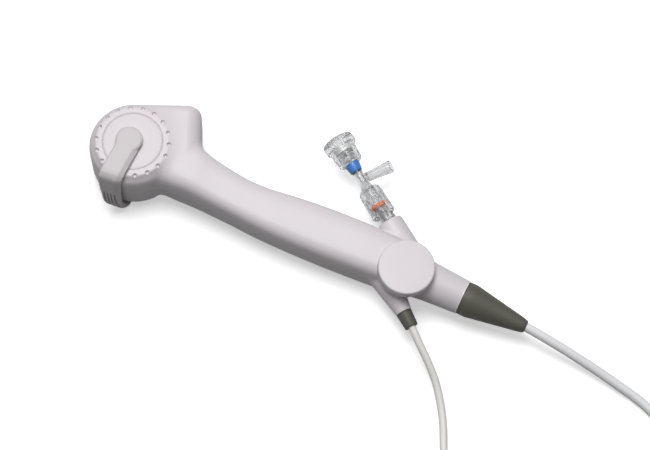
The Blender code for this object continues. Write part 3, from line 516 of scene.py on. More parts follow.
def makeTip(pivot):
    end = pivot + Vector((0, tube["linkPitch"] * tube["linkCount"], 0))
    place = Matrix.Translation(end) @ Matrix.Rotation(-pi / 2, 4, "X")
    length = tube["tipLength"] - tight
    item = addObject("distalTip", turned((
        (0, 0.0002, 0), (tip["band"], 0.0002, 0.0002), (tip["band"], 0.0012, 0.0001),
        (tip["radius"], 0.0014, 0.0001), (tip["radius"], 0.0024, 0.0001), (tip["shoulder"], 0.0026, 0.0001),
        (tip["shoulder"], length, 0.0007), (0, length, 0)), 56))
    carve(item, rod(tip["lens"] + tight, length - tip["lensDepth"], far, 32))
    for reach, angle, radius in tip["holes"]:
        hole = rod(radius, length - tip["holeDepth"], far, 24)
        carve(item, moved(hole, reach * cos(radians(angle)), reach * sin(radians(angle))))
    dress(item, place, "tipPlastic", "tip_plastic", "link_8", ("distal_tip",), 30)
    low, radius = length - tip["lensDepth"], tip["lens"]
    lens = addPiece("tipLens", turned((
        (0, low, 0), (radius, low, 0), (radius, length - 0.0002, 0.0001),
        (radius * 0.5, length - 0.00008, 0.0002), (0, length - 0.00005, 0)), 32),
        place, "lensGlass", "lens_glass", "link_8", ("tip_lens",))
    return [item, lens]


insertionTube, tubePoints, firstPivot = makeInsertionTube()
bendPieces = makeBendingSection(firstPivot) + makeTip(firstPivot)
print("insertion tube:", round(pathLength(tubePoints), 3), "m")

relief = {"mouth": (0.1398, -0.0135, 0.0), "angle": radians(-37.0), "length": 0.0073, "endRadius": 0.0030,
          "spigot": 0.0026, "spigotLength": 0.0050, "clampLength": 0.0026, "bossRadius": 0.0036,
          "bossRoot": 0.0075, "bossLength": 0.0220, "bossLift": 0.0030}
reliefMatrix = aim(relief["mouth"], (cos(relief["angle"]), sin(relief["angle"]), 0))
cable = {
    "radius": 0.0017,
    "route": ((0.1264, -0.0872, 0.0106), (0.1300, -0.0943, 0.0080), (0.1328, -0.1008, 0.0054),
              (0.1345, -0.1067, 0.0036), (0.1359, -0.1146, 0.0023), (0.1365, -0.1218, 0.0020),
              (0.1365, -0.1323, 0.0022)),
    "coil": {"centre": (0.1622, -0.1700), "middle": 0.0204, "radius": 0.0017, "low": 0.0029, "columns": 4,
             "layers": 4, "entry": radians(180), "turns": 15.25, "shift": radians(80), "perTurn": 40},
    "plugStart": 0.0370,
    "step": 0.003,
}
plug = {"boot": 0.0140, "bootEnd": 0.0027, "bootRadius": 0.00475,
        "rings": 6, "ring": 0.00045, "ringPitch": 0.0016,
        "radius": 0.0066, "length": 0.0180, "shoulder": 0.0090, "flats": 10, "flat": 0.00035,
        "sleeve": 0.0100, "knurls": 14, "knurl": 0.00025, "travel": 0.0025, "seat": 0.0018,
        "insert": 0.0110, "insertRadius": 0.0042, "insertWall": 0.0010, "pin": 0.00028, "pinCircle": 0.0018}


def makeCable():
    coil, plugHeight = cable["coil"], plug["radius"]
    turns = coilPath(coil)
    inside = relief["spigotLength"] + relief["clampLength"] + gap
    root, mouth = (handleMatrix @ reliefMatrix @ Vector((0, 0, z)) for z in (-inside, relief["length"]))
    meet = turns[0] + Vector((0, reachToCoil(coil), 0))
    points = smoothPath([root, mouth, *cable["route"], meet], cable["step"]) + turns[:-1]
    x, y, high = coil["centre"][0], turns[-1].y, turns[-1].z
    first, last = x + reachToCoil(coil), x + cable["plugStart"]
    route = ((x, y, high), (first, y, high), ((first + last) / 2 - 0.002, y, (high + plugHeight) / 2),
             (last - 0.004, y, plugHeight), (last, y, plugHeight), (last + 0.004, y, plugHeight))
    points += smoothPath(route, cable["step"])
    cord = addCord("cableRun", points, cable["radius"], "cableSheath", "handle")
    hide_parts("cable", "cable_coil", "cable_end")
    return cord, points, mouth, Vector((last, y, plugHeight))


cableRun, cablePoints, cableExit, plugPlace = makeCable()
plugMatrix = laid(*plugPlace)


# Plug on the cable: boot with rings, body, knurled latch sleeve and the contact insert
plugBack = plug["boot"] + gap
plugShoulder, plugFront = plugBack + plug["shoulder"], plugBack + plug["length"]
insertEnd = plugFront + gap + plug["insert"]


def makePlugBoot():
    bore, narrow, wide, length = cable["radius"] + gap, plug["bootEnd"], plug["bootRadius"], plug["boot"]
    ring, pitch = plug["ring"], plug["ringPitch"]
    corners = [(bore, 0, 0), (narrow, 0, 0.0003)]
    for i in range(plug["rings"]):  # rings that let the boot bend
        height = (i + 1) * pitch
        radius = narrow + (wide - narrow) * (height + pitch) / length
        corners += [(radius, height, 0.0002), (radius - ring, height + pitch * 0.3, 0.0002),
                    (radius - ring, height + pitch * 0.65, 0.0002)]
    corners += [(wide, length - 0.002, 0.0003), (wide, length, 0.0003), (bore, length, 0)]
    return addPiece("plugBoot", turned(corners, 48, True), plugMatrix, "reliefRubber", "relief_rubber",
                    replaces=("plug_boot",))


def makePlugBody():
    start, shoulder, end = plugBack, plugShoulder, plugFront
    outer, inner = plug["radius"], plug["radius"] - plug["seat"]

    def wave(radius, height, angle):  # finger flats round the body
        share = ease((height - start - 0.0015) / 0.001) * ease((shoulder - 0.0012 - height) / 0.001)
        depth = plug["flat"] * share * (0.5 - 0.5 * cos(plug["flats"] * angle))
        return -depth if radius > inner + 0.001 else 0
    corners = [(0, start, 0), (outer - 0.0006, start, 0.0003), (outer, start + 0.0008, 0.0004)]
    corners += [(outer, start + 0.0015 + i * 0.0008, 0) for i in range(8)]
    corners += [(outer, shoulder, 0.0003), (inner, shoulder, 0), (inner, end, 0.0003), (0, end, 0)]
    return addPiece("plugBody", turned(corners, 120, wave=wave), plugMatrix, "cableSheath", "cable_sheath",
                    replaces=("plug_body",))


def makeLatchSleeve():
    outer, inner = plug["radius"], plug["radius"] - plug["seat"] + gap
    low = plugShoulder + gap + plug["travel"]
    high = low + plug["sleeve"]

    def wave(radius, height, angle):  # knurling
        inside = outer - 0.0003 < radius and low + 0.0012 < height < high - 0.0012
        return -plug["knurl"] * abs(sin(plug["knurls"] * angle)) if inside else 0
    corners = ((inner, low, 0.0002), (outer, low, 0.0003), (outer, low + 0.0011, 0),
               (outer, low + 0.0013, 0), (outer, high - 0.0013, 0), (outer, high - 0.0011, 0),
               (outer, high, 0.0004), (inner, high, 0.0002))
    return addPiece("latchSleeve", turned(corners, 168, True, wave=wave), plugMatrix, "turnedSteel", "steel",
                    "latch_sleeve", ("latch_sleeve",), 50)


def makePlugInsert():
    low, high, radius = plugFront + gap, insertEnd, plug["insertRadius"]
    inner, waist = radius - plug["insertWall"], radius - 0.0002
    item = addObject("plugInsert", turned((
        (inner, low, 0), (radius, low, 0.0002), (radius, low + 0.0050, 0.0001), (waist, low + 0.0054, 0.0001),
        (waist, low + 0.0062, 0.0001), (radius, low + 0.0066, 0.0001), (radius, high, 0.0004),
        (inner, high, 0.0002)), 72, True))
    carve(item, box((inner - 0.0004, -0.0007, high - 0.006), (radius + 0.001, 0.0007, far)))  # key slot
    return dress(item, plugMatrix, "platedBrass", "contact_brass", replaces=("plug_insert",), sharp=30)


def makeContactPins():
    thin, end = plug["pin"], insertEnd
    pins = []
    for i in range(7):  # six contact pins and one in the middle
        reach, angle = (0, 0) if i == 6 else (plug["pinCircle"], i * pi / 3)
        pin = turned(((0, plugFront, 0), (thin, plugFront, 0), (thin, end - 0.0035, 0.0002),
                      (0, end - 0.0032, 0)), 16)
        pins.append(moved(pin, reach * cos(angle), reach * sin(angle)))
    return dress(addAll("contactPins", pins), plugMatrix, "platedBrass", "contact_brass")


tie = {"width": 0.0060, "thick": 0.0008, "slack": 0.0005, "corner": 0.003,
       "angles": (radians(35), radians(215)),
       "section": (  # across, outward
           (-0.5, 1), (-0.46, 1.15), (0.46, 1.15), (0.5, 1), (0.5, -1), (-0.5, -1))}


def makeTies():
    coil, corner = cable["coil"], tie["corner"]
    half = coil["columns"] * coil["radius"] + gap
    middle = coil["low"] - coil["radius"] + coil["layers"] * coil["radius"]
    across, up = half + tie["slack"] + tie["thick"] / 2, half + tie["thick"] / 2
    loop = rounded([(x * across, y * up, corner) for x, y in ((-1, -1), (1, -1), (1, 1), (-1, 1))], True, 6)
    rows = []
    for i, point in enumerate(loop):
        way = (loop[(i + 1) % len(loop)] - loop[i - 1]).normalized()
        out = Vector((way.y, -way.x)) * tie["thick"] * 0.42
        spots = [(side, point + out * push) for side, push in tie["section"]]
        rows.append([(spot.x, side * tie["width"], spot.y) for side, spot in spots])
    pieces = []
    for number, angle in enumerate(tie["angles"], 1):
        place = Vector((*coil["centre"], middle)) + Vector((cos(angle), sin(angle), 0)) * coil["middle"]
        pieces.append(addPiece("tieStrap%d" % number, loft(rows, True),
                               Matrix.Translation(place) @ Matrix.Rotation(angle, 4, "Z"), "blackRubber",
                               "black_rubber", replaces=("tie_strap_%d" % number,), sharp=30))
    return pieces


cablePieces = [makePlugBoot(), makePlugBody(), makeLatchSleeve(), makePlugInsert(), makeContactPins()]
cablePieces += makeTies()
print("cable:", round(pathLength(cablePoints), 2), "m")


# Handle shells, in the handle's own frame
head = {
    "radius": 0.0195, "half": 0.0135, "turn": radians(26), "reach": 0.0300, "rise": 0.0002,
    "corner": (0.0066, 0.0050), "beakLow": -0.0030,
    "barrelRound": (0.0034, 0.0050),  # how far the rim draws in and down
    "beakRound": (0.0070, 0.0045, 0.0062),
    "plateau": 0.0170, "plateauTop": 0.0148, "dial": 0.0133, "dialTop": 0.0151, "dialSeat": 0.0117,
    "dimples": 18, "dimpleRing": 0.0161, "dimple": 0.0010, "dimpleStart": radians(-4.8),
    "shaftHole": 0.0058, "shaftBore": 0.0033,  # through the shells, and through dial and lever
}
grip = {
    "sections": (  # along the grip, middle across it, half width, half thickness
        (0.0080, 0.0022, 0.0122, 0.0118), (0.0160, 0.0034, 0.0129, 0.0126), (0.0230, 0.0029, 0.0126, 0.0130),
        (0.0300, 0.0017, 0.0110, 0.0130), (0.0370, 0.0010, 0.0102, 0.0122), (0.0450, 0.0004, 0.0098, 0.0116),
        (0.0540, 0.0000, 0.0096, 0.0112), (0.0640, 0.0001, 0.0101, 0.0112), (0.0740, 0.0009, 0.0109, 0.0112),
        (0.0850, 0.0017, 0.0114, 0.0113), (0.0980, 0.0026, 0.0116, 0.0115), (0.1120, 0.0034, 0.0113, 0.0118),
        (0.1210, 0.0037, 0.0108, 0.0117), (0.1300, 0.0040, 0.0100, 0.0109), (0.1400, 0.0042, 0.0089, 0.0095),
        (0.1500, 0.0043, 0.0084, 0.0086), (0.1600, 0.0043, 0.0078, 0.0078), (0.1640, 0.0043, 0.0076, 0.0076)),
    "hollow": 16,  # sections with a hollow inside
    "square": 4.0,  # power of the section's outline, 2 is an ellipse
    "roundFrom": (0.120, 0.030),
    "wall": 0.0020,
    "voxel": 0.00042,
    "softening": 10,
    "fillPasses": 320,
    "fills": ((0.90, 0.062, -0.025), (0.05, 0.100, 0.015)),  # strength, where it starts, over what length
}
yPiece = {"disc": (0.1330, 0.0018), "discRadius": 0.0125, "discTop": 0.0135, "discThick": 0.0042,
          "bossRadius": 0.0115, "bossLow": 0.0050,
          "rearDisc": (0.1310, 0.0030), "rearRadius": 0.0075, "rearDepth": 0.0128, "rearBoss": 0.0072}
port = {"mouth": (0.1160, 0.0213, 0.0), "angle": radians(146.7), "bossRadius": 0.0062, "bossLength": 0.0180,
        "bore": 0.0033}
portMatrix = aim(port["mouth"], (cos(port["angle"]), sin(port["angle"]), 0))
screw = {"places": ((0.0165, 0.0235), (0.0340, 0.0084), (0.0980, 0.0096), (0.0980, -0.0045)), "head": 0.0021,
         "seat": -0.0066, "thick": 0.0016, "shank": 0.0010, "end": 0.0058, "cross": (0.0012, 0.0003)}
seam = 0.00012  # half the gap between the two shells


def headPoints():  # the outline, and how far each point draws in and down where the rim rounds
    radius, top, reach = head["radius"], head["radius"] + head["rise"], head["reach"]
    cornerX, cornerY = head["corner"]
    draw, drop = head["barrelRound"]
    inX, inY, down = head["beakRound"]
    barrel = [radians(92 + 208 * i / 72) for i in range(73)]
    points = [((radius * cos(a), radius * sin(a)), (draw * cos(a), draw * sin(a)), drop) for a in barrel]
    points.append(((reach, head["beakLow"]), (inX, 0), down))
    for a in (radians(88 * i / 16) for i in range(17)):
        place = (reach - cornerX * (1 - cos(a)), top - cornerY * (1 - sin(a)))
        points.append((place, (inX * cos(a), inY * sin(a)), down))
    return points


def headPlate(half, draw=0.0):
    turn = Matrix.Rotation(head["turn"], 2)
    rows = []
    for side in (-1, 1):
        angles = [radians(90 * i / 9) for i in range(10)]
        for angle in (reversed(angles) if side < 0 else angles):
            row = []
            for (x, y), (inX, inY), down in headPoints():
                share = 1 - cos(angle)
                spot = Vector((x - inX * share, y - inY * share))
                spot -= spot.normalized() * draw
                spot = turn @ spot
                row.append((spot.x, spot.y, side * (half - down * (1 - sin(angle)))))
            rows.append(row)
    return loft(rows)


def gripLoft(shrink, lastRow, count):
    start, length = grip["roundFrom"]
    rows = []
    for x, middle, width, thick in smoothPath(grip["sections"][:lastRow], 0.002):
        row = []
        power = grip["square"] + (2 - grip["square"]) * ease((x - start) / length)
        for i in range(count):
            angle = 2 * pi * (i + 0.5) / count
            c, s = cos(angle), sin(angle)
            reach = (abs(c) ** power + abs(s) ** power) ** (-1 / power)
            row.append((x, middle + (width - shrink) * reach * c, (thick - shrink) * reach * s))
        rows.append(row)
    return loft(rows)


def stepped(bore, depth, wide, reach, segments):  # a bore that opens into a wide mouth
    return lathe(((0, -depth), (bore, -depth), (bore, 0), (wide, 0), (wide, reach), (0, reach)), segments)


def makeHandleSkin():
    flat, top = head["plateau"], head["plateauTop"]
    radius, root = port["bossRadius"], -port["bossLength"]
    low, lift = -relief["bossLength"], relief["bossLift"]
    wide, narrow = relief["bossRoot"], relief["bossRadius"] - 0.0005
    front, rear = yPiece["discTop"] - yPiece["discThick"], -yPiece["rearDepth"] + yPiece["discThick"]
    solids = [
        headPlate(head["half"]), gripLoft(0, len(grip["sections"]), 64),
        turned(((0, 0, 0), (flat, 0, 0), (flat, top, 0.0013), (0, top, 0)), 96, steps=5),
        shift(turned(((0, root, 0), (radius, root, 0), (radius, 0, 0.0010), (0, 0, 0)), 64), portMatrix),
        shift(lathe(((0, low), (wide, low), (narrow, lift), (0, lift)), 64), reliefMatrix),
        moved(rod(yPiece["bossRadius"], yPiece["bossLow"], front + 0.001, 96), *yPiece["disc"]),
        moved(rod(yPiece["rearBoss"], rear - 0.001, 0, 64), *yPiece["rearDisc"])]
    skin = fuse("handleSkin", solids, grip["voxel"], grip["softening"])
    fillHollows(skin, grip["fillPasses"], lambda x, y, z: sum(
        strength * ease((x - start) / length) for strength, start, length in grip["fills"]))
    print("handle skin:", len(skin.data.polygons), "faces")
    return skin


def makeShells():
    skin = makeHandleSkin()
    wall, dial, lip, seat = grip["wall"], head["dial"], head["plateauTop"], head["dialSeat"]
    carve(skin, shift(stepped(tail["bore"], 0.02, 0.02, 0.02, 64), laid(tail["x"], tail["y"], 0)))
    carve(skin, shift(stepped(relief["spigot"] + gap, 0.018, 0.01, 0.006, 48), reliefMatrix))
    carve(skin, shift(rod(port["bore"] + tight, -0.024, 0.004), portMatrix))
    front, rear = yPiece["discTop"] - yPiece["discThick"], -yPiece["rearDepth"] + yPiece["discThick"]
    carve(skin, moved(rod(yPiece["discRadius"] + tight, front - gap, far, 128), *yPiece["disc"]))
    carve(skin, moved(rod(yPiece["rearRadius"] + gap, -far, rear + gap, 64), *yPiece["rearDisc"]))
    fit = dial + 0.00004
    carve(skin, lathe(((0, seat), (fit, seat), (fit, lip - 0.00022), (fit + 0.0005, lip + 0.0001),
                       (fit + 0.0005, far), (0, far)), 128))
    carve(skin, rod(dial + gap, -far, -seat, 96))
    carve(skin, headPlate(head["half"] - 2 * wall, wall))
    carve(skin, gripLoft(wall, grip["hollow"], 24))
    carve(skin, rod(head["shaftHole"], -far, far, 48))
    dimples = []
    reach = head["dimpleRing"]
    for i in range(head["dimples"]):
        angle = head["dimpleStart"] + 2 * pi * i / head["dimples"] - handleTurn
        ball = bmesh.new()
        bmesh.ops.create_icosphere(ball, subdivisions=3, radius=head["dimple"])
        bmesh.ops.scale(ball, vec=(1, 1, 1.5), verts=ball.verts)
        dimples.append(moved(ball, reach * cos(angle), reach * sin(angle), lip - tight))
    carve(skin, addAll("dimples", dimples))
    carve(skin, addAll("sinks", [moved(rod(screw["head"] + gap, -far, screw["seat"], 32), *place)
                                 for place in screw["places"]]))

    for name, node, low, high in (("frontShell", "front_shell", seam, far),
                                  ("rearShell", "rear_shell", -far, -seam)):
        half = addItem(name, skin.data.copy())
        carve(half, box((-far, -far, low), (far, far, high)), "INTERSECT")
        dress(half, handleMatrix, "shellPlastic", "shell_plastic", replaces=(node,), sharp=32)
    bpy.data.objects.remove(skin, do_unlink=True)


makeShells()
print("shells done")


# Covers: the dial, the rear cap, and the discs at the Y
cap = {"below": 0.0020, "draw": 0.0012,  # how far it runs on before the cut, and how far its edge draws in
       "groove": (0.0060, 0.0066, 0.0005),  # inner and outer radius, depth
       "floor": 0.00001}
shellLook = ("shellPlastic", "shell_plastic")


def levelled(name, bm):  # put on the handle and cut off level with the floor
    item = addObject(name, shift(bm, handleMatrix))
    return carve(item, box((-far, -far, -far), (far, far, cap["floor"])))


def makeDialCover():
    radius, top, low, bore = head["dial"], head["dialTop"], head["dialSeat"] + gap, head["shaftBore"]
    addPiece("dialCover", turned((
        (bore, low, 0), (radius, low, 0), (radius, top - 0.0005, 0.0001),
        (radius - 0.0006, top - 0.0002, 0.0004), (0.0070, top, 0.0010), (bore, top, 0)), 128, True, 6),
        handleMatrix, *shellLook, replaces=("dial_cover",), sharp=50)


def makeRearCap():
    radius, top, low = head["dial"], -head["dialSeat"] - gap, -leverJoint["pos_m"][2]
    narrow = radius - cap["draw"]
    item = levelled("rearCap", turned((
        (0, low - cap["below"], 0), (narrow, low - cap["below"], 0), (narrow, low + 0.0002, 0.001),
        (radius, low + 0.0022, 0.001), (radius, top, 0.0002), (0, top, 0)), 96))
    inner, outer, deep = cap["groove"]
    carve(item, lathe(((inner, -0.01), (outer, -0.01), (outer, deep), (inner, deep)), 64))
    dress(item, Matrix(), *shellLook, replaces=("rear_cap",), sharp=40)


def makeFrontDisc():
    top, low, radius = yPiece["discTop"], yPiece["discTop"] - yPiece["discThick"], yPiece["discRadius"]
    disc = turned((
        (0, low, 0), (radius, low, 0.0001), (radius, top - 0.0006, 0.0003),
        (radius - 0.0005, top - 0.0001, 0.0002), (radius * 0.6, top, 0.0010), (0, top, 0)), 128, steps=7)
    addPiece("frontDisc", moved(disc, *yPiece["disc"]), handleMatrix, *shellLook, replaces=("front_disc",),
             sharp=50)


def makeRearDisc():
    low, radius = -yPiece["rearDepth"], yPiece["rearRadius"]
    narrow, top = radius - 0.0010, low + yPiece["discThick"]
    disc = turned((
        (0, low - 0.001, 0), (narrow, low - 0.001, 0), (narrow, low, 0.0006), (radius, low + 0.0012, 0.0008),
        (radius, top, 0.0002), (0, top, 0)), 96)
    item = levelled("rearDisc", moved(disc, *yPiece["rearDisc"]))
    dress(item, Matrix(), *shellLook, replaces=("rear_disc",), sharp=40)


makeDialCover()
makeRearCap()
makeFrontDisc()
makeRearDisc()

# Thumb lever: a flat arm from the hub that folds over the rim and hooks round the barrel
lever = {
    "hub": 0.0060, "hubShift": (-0.0012, -0.0007), "boreTop": 0.0175,
    "under": 0.0159, "top": 0.0183, "fold": 0.0048, "foldStart": 0.0169, "foldAngles": (22, 45, 68),
    "outside": ((-0.0222, 0.0115), (-0.0230, 0.0060), (-0.0238, 0.0000), (-0.0241, -0.0050),
                (-0.0234, -0.0100), (-0.0216, -0.0136), (-0.0190, -0.0152), (-0.0168, -0.0149)),
    "inside": ((-0.0170, -0.0138), (-0.0192, -0.0131), (-0.0208, -0.0100), (-0.0215, -0.0050),
               (-0.0212, 0.0000), (-0.0206, 0.0060), (-0.0199, 0.0115), (-0.0183, 0.0148)),
    "sides": (  # height, then the two sides across the lever
        (0.0140, -0.0057, 0.0047), (0.0090, -0.0052, 0.0046), (0.0050, -0.0047, 0.0045),
        (0.0000, -0.0041, 0.0045), (-0.0050, -0.0036, 0.0047), (-0.0090, -0.0027, 0.0052),
        (-0.0115, -0.0014, 0.0058), (-0.0140, 0.0003, 0.0065), (-0.0160, 0.0016, 0.0070)),
    "bevels": (  # share of the way across, how far the edge draws in
        (0.0, 0.0006), (0.05, 0.0), (0.35, 0.0), (0.60, 0.0), (0.79, 0.0), (1.0, 0.0013)),
    "skew": 0.12, "skewFrom": (-0.010, 0.006),  # the skew, and where it starts and over what length
    "armEnd": -0.012, "underEnd": -0.0158, "padFace": -0.0195,
    "voxel": 0.00024,
    "softening": 12,
    "grooves": 5, "grooveFirst": -0.0040, "groovePitch": 0.0016, "grooveSlant": 0.04, "groove": 0.00040,
    "grooveDeep": 0.0018, "grooveTop": 0.0046, "grooveEnd": -0.0151,
}


def leverSides(height):
    table = lever["sides"]
    if height >= table[0][0]:
        return table[0][1:]
    for (high, *upper), (low, *lower) in zip(table, table[1:]):
        if height >= low:
            share = (height - low) / (high - low)
            return tuple(u * share + v * (1 - share) for u, v in zip(upper, lower))
    return table[-1][1:]


def inwardAlong(path):  # at each point, across the path and into the lever
    ways = []
    for i in range(len(path)):
        way = (path[min(i + 1, len(path) - 1)] - path[max(i - 1, 0)]).normalized()
        ways.append(Vector((-way.y, way.x)))
    return ways


def skewed(x, y, z):
    start, length = lever["skewFrom"]
    return x, y + lever["skew"] * x * ease((start - y) / length), z


def makeGroove(number, path):
    first, last = leverSides(0)
    rows = []
    for k, (point, way) in enumerate(path):
        left, right = leverSides(point.y)
        middle = (left + right) / 2 - (first + last) / 2
        taper = 0.35 + 0.65 * sin(pi * (k + 0.5) / len(path)) ** 0.5
        x = (lever["grooveFirst"] + number * lever["groovePitch"] + middle
             + lever["grooveSlant"] * (lever["grooveTop"] - point.y))
        row = []
        for a in (2 * pi * turn / 12 for turn in range(12)):
            spot = point + way * lever["grooveDeep"] * taper * sin(a)
            row.append(skewed(x + lever["groove"] * taper * cos(a), spot.x, spot.y))
        rows.append(row)
    return loft(rows)


def makeLever():
    top, under, fold, start = lever["top"], lever["under"], lever["fold"], lever["foldStart"]
    bend = [(-start - fold * sin(a), top - fold * (1 - cos(a))) for a in map(radians, lever["foldAngles"])]
    outer = [Vector((0, top)), Vector((-start * 0.5, top)), Vector((-start, top))]
    outer += smoothPath([Vector(point) for point in (*bend, *lever["outside"])], 0.0008)
    inner = smoothPath([Vector(point) for point in (*lever["inside"], (lever["underEnd"], under))], 0.001)
    inner.append(Vector((0, under)))
    inward = inwardAlong(outer)
    rows = []
    for share, draw in lever["bevels"]:
        row = []
        for point in [a + b * draw for a, b in zip(outer, inward)] + inner:
            left, right = leverSides(point.y if point.x < lever["armEnd"] else top)
            row.append(skewed(left + (right - left) * share, point.x, point.y))
        rows.append(row)
    radius = lever["hub"]
    hub = turned(((0, under, 0), (radius, under, 0.0002), (radius, top - 0.0004, 0.0004),
                  (radius - 0.0011, top, 0.0005), (0, top, 0)), 80)
    hub = moved(hub, *lever["hubShift"])
    item = fuse("thumbLever", [loft(rows), hub], lever["voxel"], lever["softening"])
    path = [(point, way) for point, way in zip(outer, inward)
            if point.x < lever["padFace"] and lever["grooveEnd"] < point.y < lever["grooveTop"]]
    carve(item, addAll("grooves", [makeGroove(number, path) for number in range(lever["grooves"])]))
    carve(item, rod(head["shaftBore"], 0, lever["boreTop"], 48))
    dress(item, handleMatrix, "leverPlastic", "lever_plastic", "lever", ("thumb_lever",), 38)


makeLever()
print("lever done")


# Reliefs: the long cone on the insertion tube and the short flared one on the cable
reliefLook = ("reliefRubber", "relief_rubber")


def makeTailCone():
    start, end = tail["x"] + gap, tail["coneEnd"]
    kink = start + tail["coneLip"]
    bore, spigot = tube["radius"] + 0.0002, tail["bore"] - gap
    inside, root = spigot - tail["spigotWall"], start - tail["spigotLength"]
    addPiece("tailCone", turned((
        (inside, root, 0.0002), (spigot, root, 0.0003), (spigot, start, 0),
        (tail["lipRadius"] - tight, start, 0.0002), (tail["lipRadius"], kink, 0.0009),
        (tail["endRadius"] + 0.0005, end - 0.0018, 0.0009), (tail["endRadius"] - tight, end, 0.0006),
        (bore, end, 0.0003), (bore, kink + 0.006, 0), (inside, kink, 0)), 96, True, 6),
        handleMatrix @ laid(0, tail["y"], 0), *reliefLook, replaces=("tail_cone",), sharp=40)


def makeTailRim():
    radius, inside = tail["rimRadius"], tail["bore"] - gap + tight
    low, high = tail["rim"]
    addPiece("tailRim", turned((
        (inside, low, 0), (radius, low, 0.0001), (radius, high, 0.0001), (inside, high, 0)), 96, True),
        handleMatrix @ laid(tail["x"], tail["y"], 0), "rimPlastic", "bush_plastic")


def makeCableRelief():
    bore, spigot, low = cable["radius"] + 0.0002, relief["spigot"], -relief["spigotLength"]
    addPiece("cableRelief", turned((
        (bore, low, 0), (spigot, low, 0.0003), (spigot, gap, 0), (relief["bossRadius"] - tight, gap, 0.0002),
        (relief["endRadius"], relief["length"], 0.0004), (bore, relief["length"], 0.0002)), 72, True, 5),
        handleMatrix @ reliefMatrix, *reliefLook, replaces=("cable_relief",), sharp=40)


makeTailCone()
makeTailRim()
makeCableRelief()

# Side adapter, distances along its axis from the boss
adapter = {
    "portFlange": 0.0042, "portFlangeEnd": 0.0036, "portNeck": 0.0030, "lugStart": 0.0056, "lugEnd": 0.0072,
    "portBore": 0.0023, "channel": 0.0013, "portRoot": -0.0080, "lugPitch": 0.0011, "lug": 0.00045,
    "nutStart": 0.0042, "nutEnd": 0.0180, "nutRadius": 0.0051, "nutBore": 0.0042, "nutFloor": 0.0130,
    "nutRibs": 16, "nutRib": 0.00032,
    "sealPlace": 0.0086, "sealMajor": 0.0031, "sealMinor": 0.0010,
    "maleTip": 0.0025, "maleRadius": 0.0019, "flange": 0.0116, "flangeRadius": 0.0039, "flangeThick": 0.0010,
    "stem": 0.0029, "waist": 0.0024, "neck": 0.0022, "bore": 0.0010,
    "arm": 0.0235, "armReach": 0.0150, "armRoot": 0.0022, "armRadius": 0.0027, "armFlare": 0.0030,
    "armBore": 0.0020, "armTurn": radians(93.6), "armRoll": radians(60.7),
    "collar": 0.0277, "collarEnd": 0.0321, "blueStart": 0.0028, "blueEnd": 0.0035,
    "thread": 0.0041, "threadEnd": 0.0380, "threadPitch": 0.0014, "threadRise": 0.0004,
    "cap": 0.0324, "capStart": 0.0056, "capWaist": 0.0062, "capFlange": 0.0404, "capEnd": 0.0451,
    "capRadius": 0.0071, "capBore": 0.0046, "capFloor": 0.0412, "capMouth": 0.0016,
    "capRibs": 24, "capRib": 0.0004,
}
adapterMatrix = handleMatrix @ portMatrix
clearLook = (adapterMatrix, "clearPlastic", "clear_plastic")


def stack(radius, low, high, count):  # corners one above the other
    return [(radius, low + (high - low) * i / count, 0) for i in range(count + 1)]


def helix(height, angle, pitch, rise):
    turn = (height / pitch - angle / (2 * pi)) % 1
    return rise * ease(1 - abs(turn - 0.5) * 3)


def makeLuerPort():
    a = adapter
    neck, bore, low = a["portNeck"], a["portBore"], a["maleTip"] - 0.001

    def wave(radius, height, angle):
        inside = a["lugStart"] - 0.0012 < height < a["lugEnd"] and neck - tight < radius < neck + tight
        return helix(height, angle, a["lugPitch"], a["lug"]) if inside else 0
    corners = [(a["channel"], a["portRoot"], 0), (neck, a["portRoot"], 0), (neck, gap, 0),
               (a["portFlange"], gap, 0.0002), (a["portFlange"], a["portFlangeEnd"], 0.0003),
               (neck, a["portFlangeEnd"], 0.0003)]
    corners += stack(neck, a["lugStart"] - 0.0014, a["lugEnd"] - 0.0002, 24)
    corners += [(neck - tight, a["lugEnd"], 0.0002), (bore, a["lugEnd"], 0.0002), (bore - 0.0002, low, 0),
                (a["channel"], low, 0)]
    addPiece("luerPort", turned(corners, 72, True, wave=wave), *clearLook, replaces=("luer_port",), sharp=40)


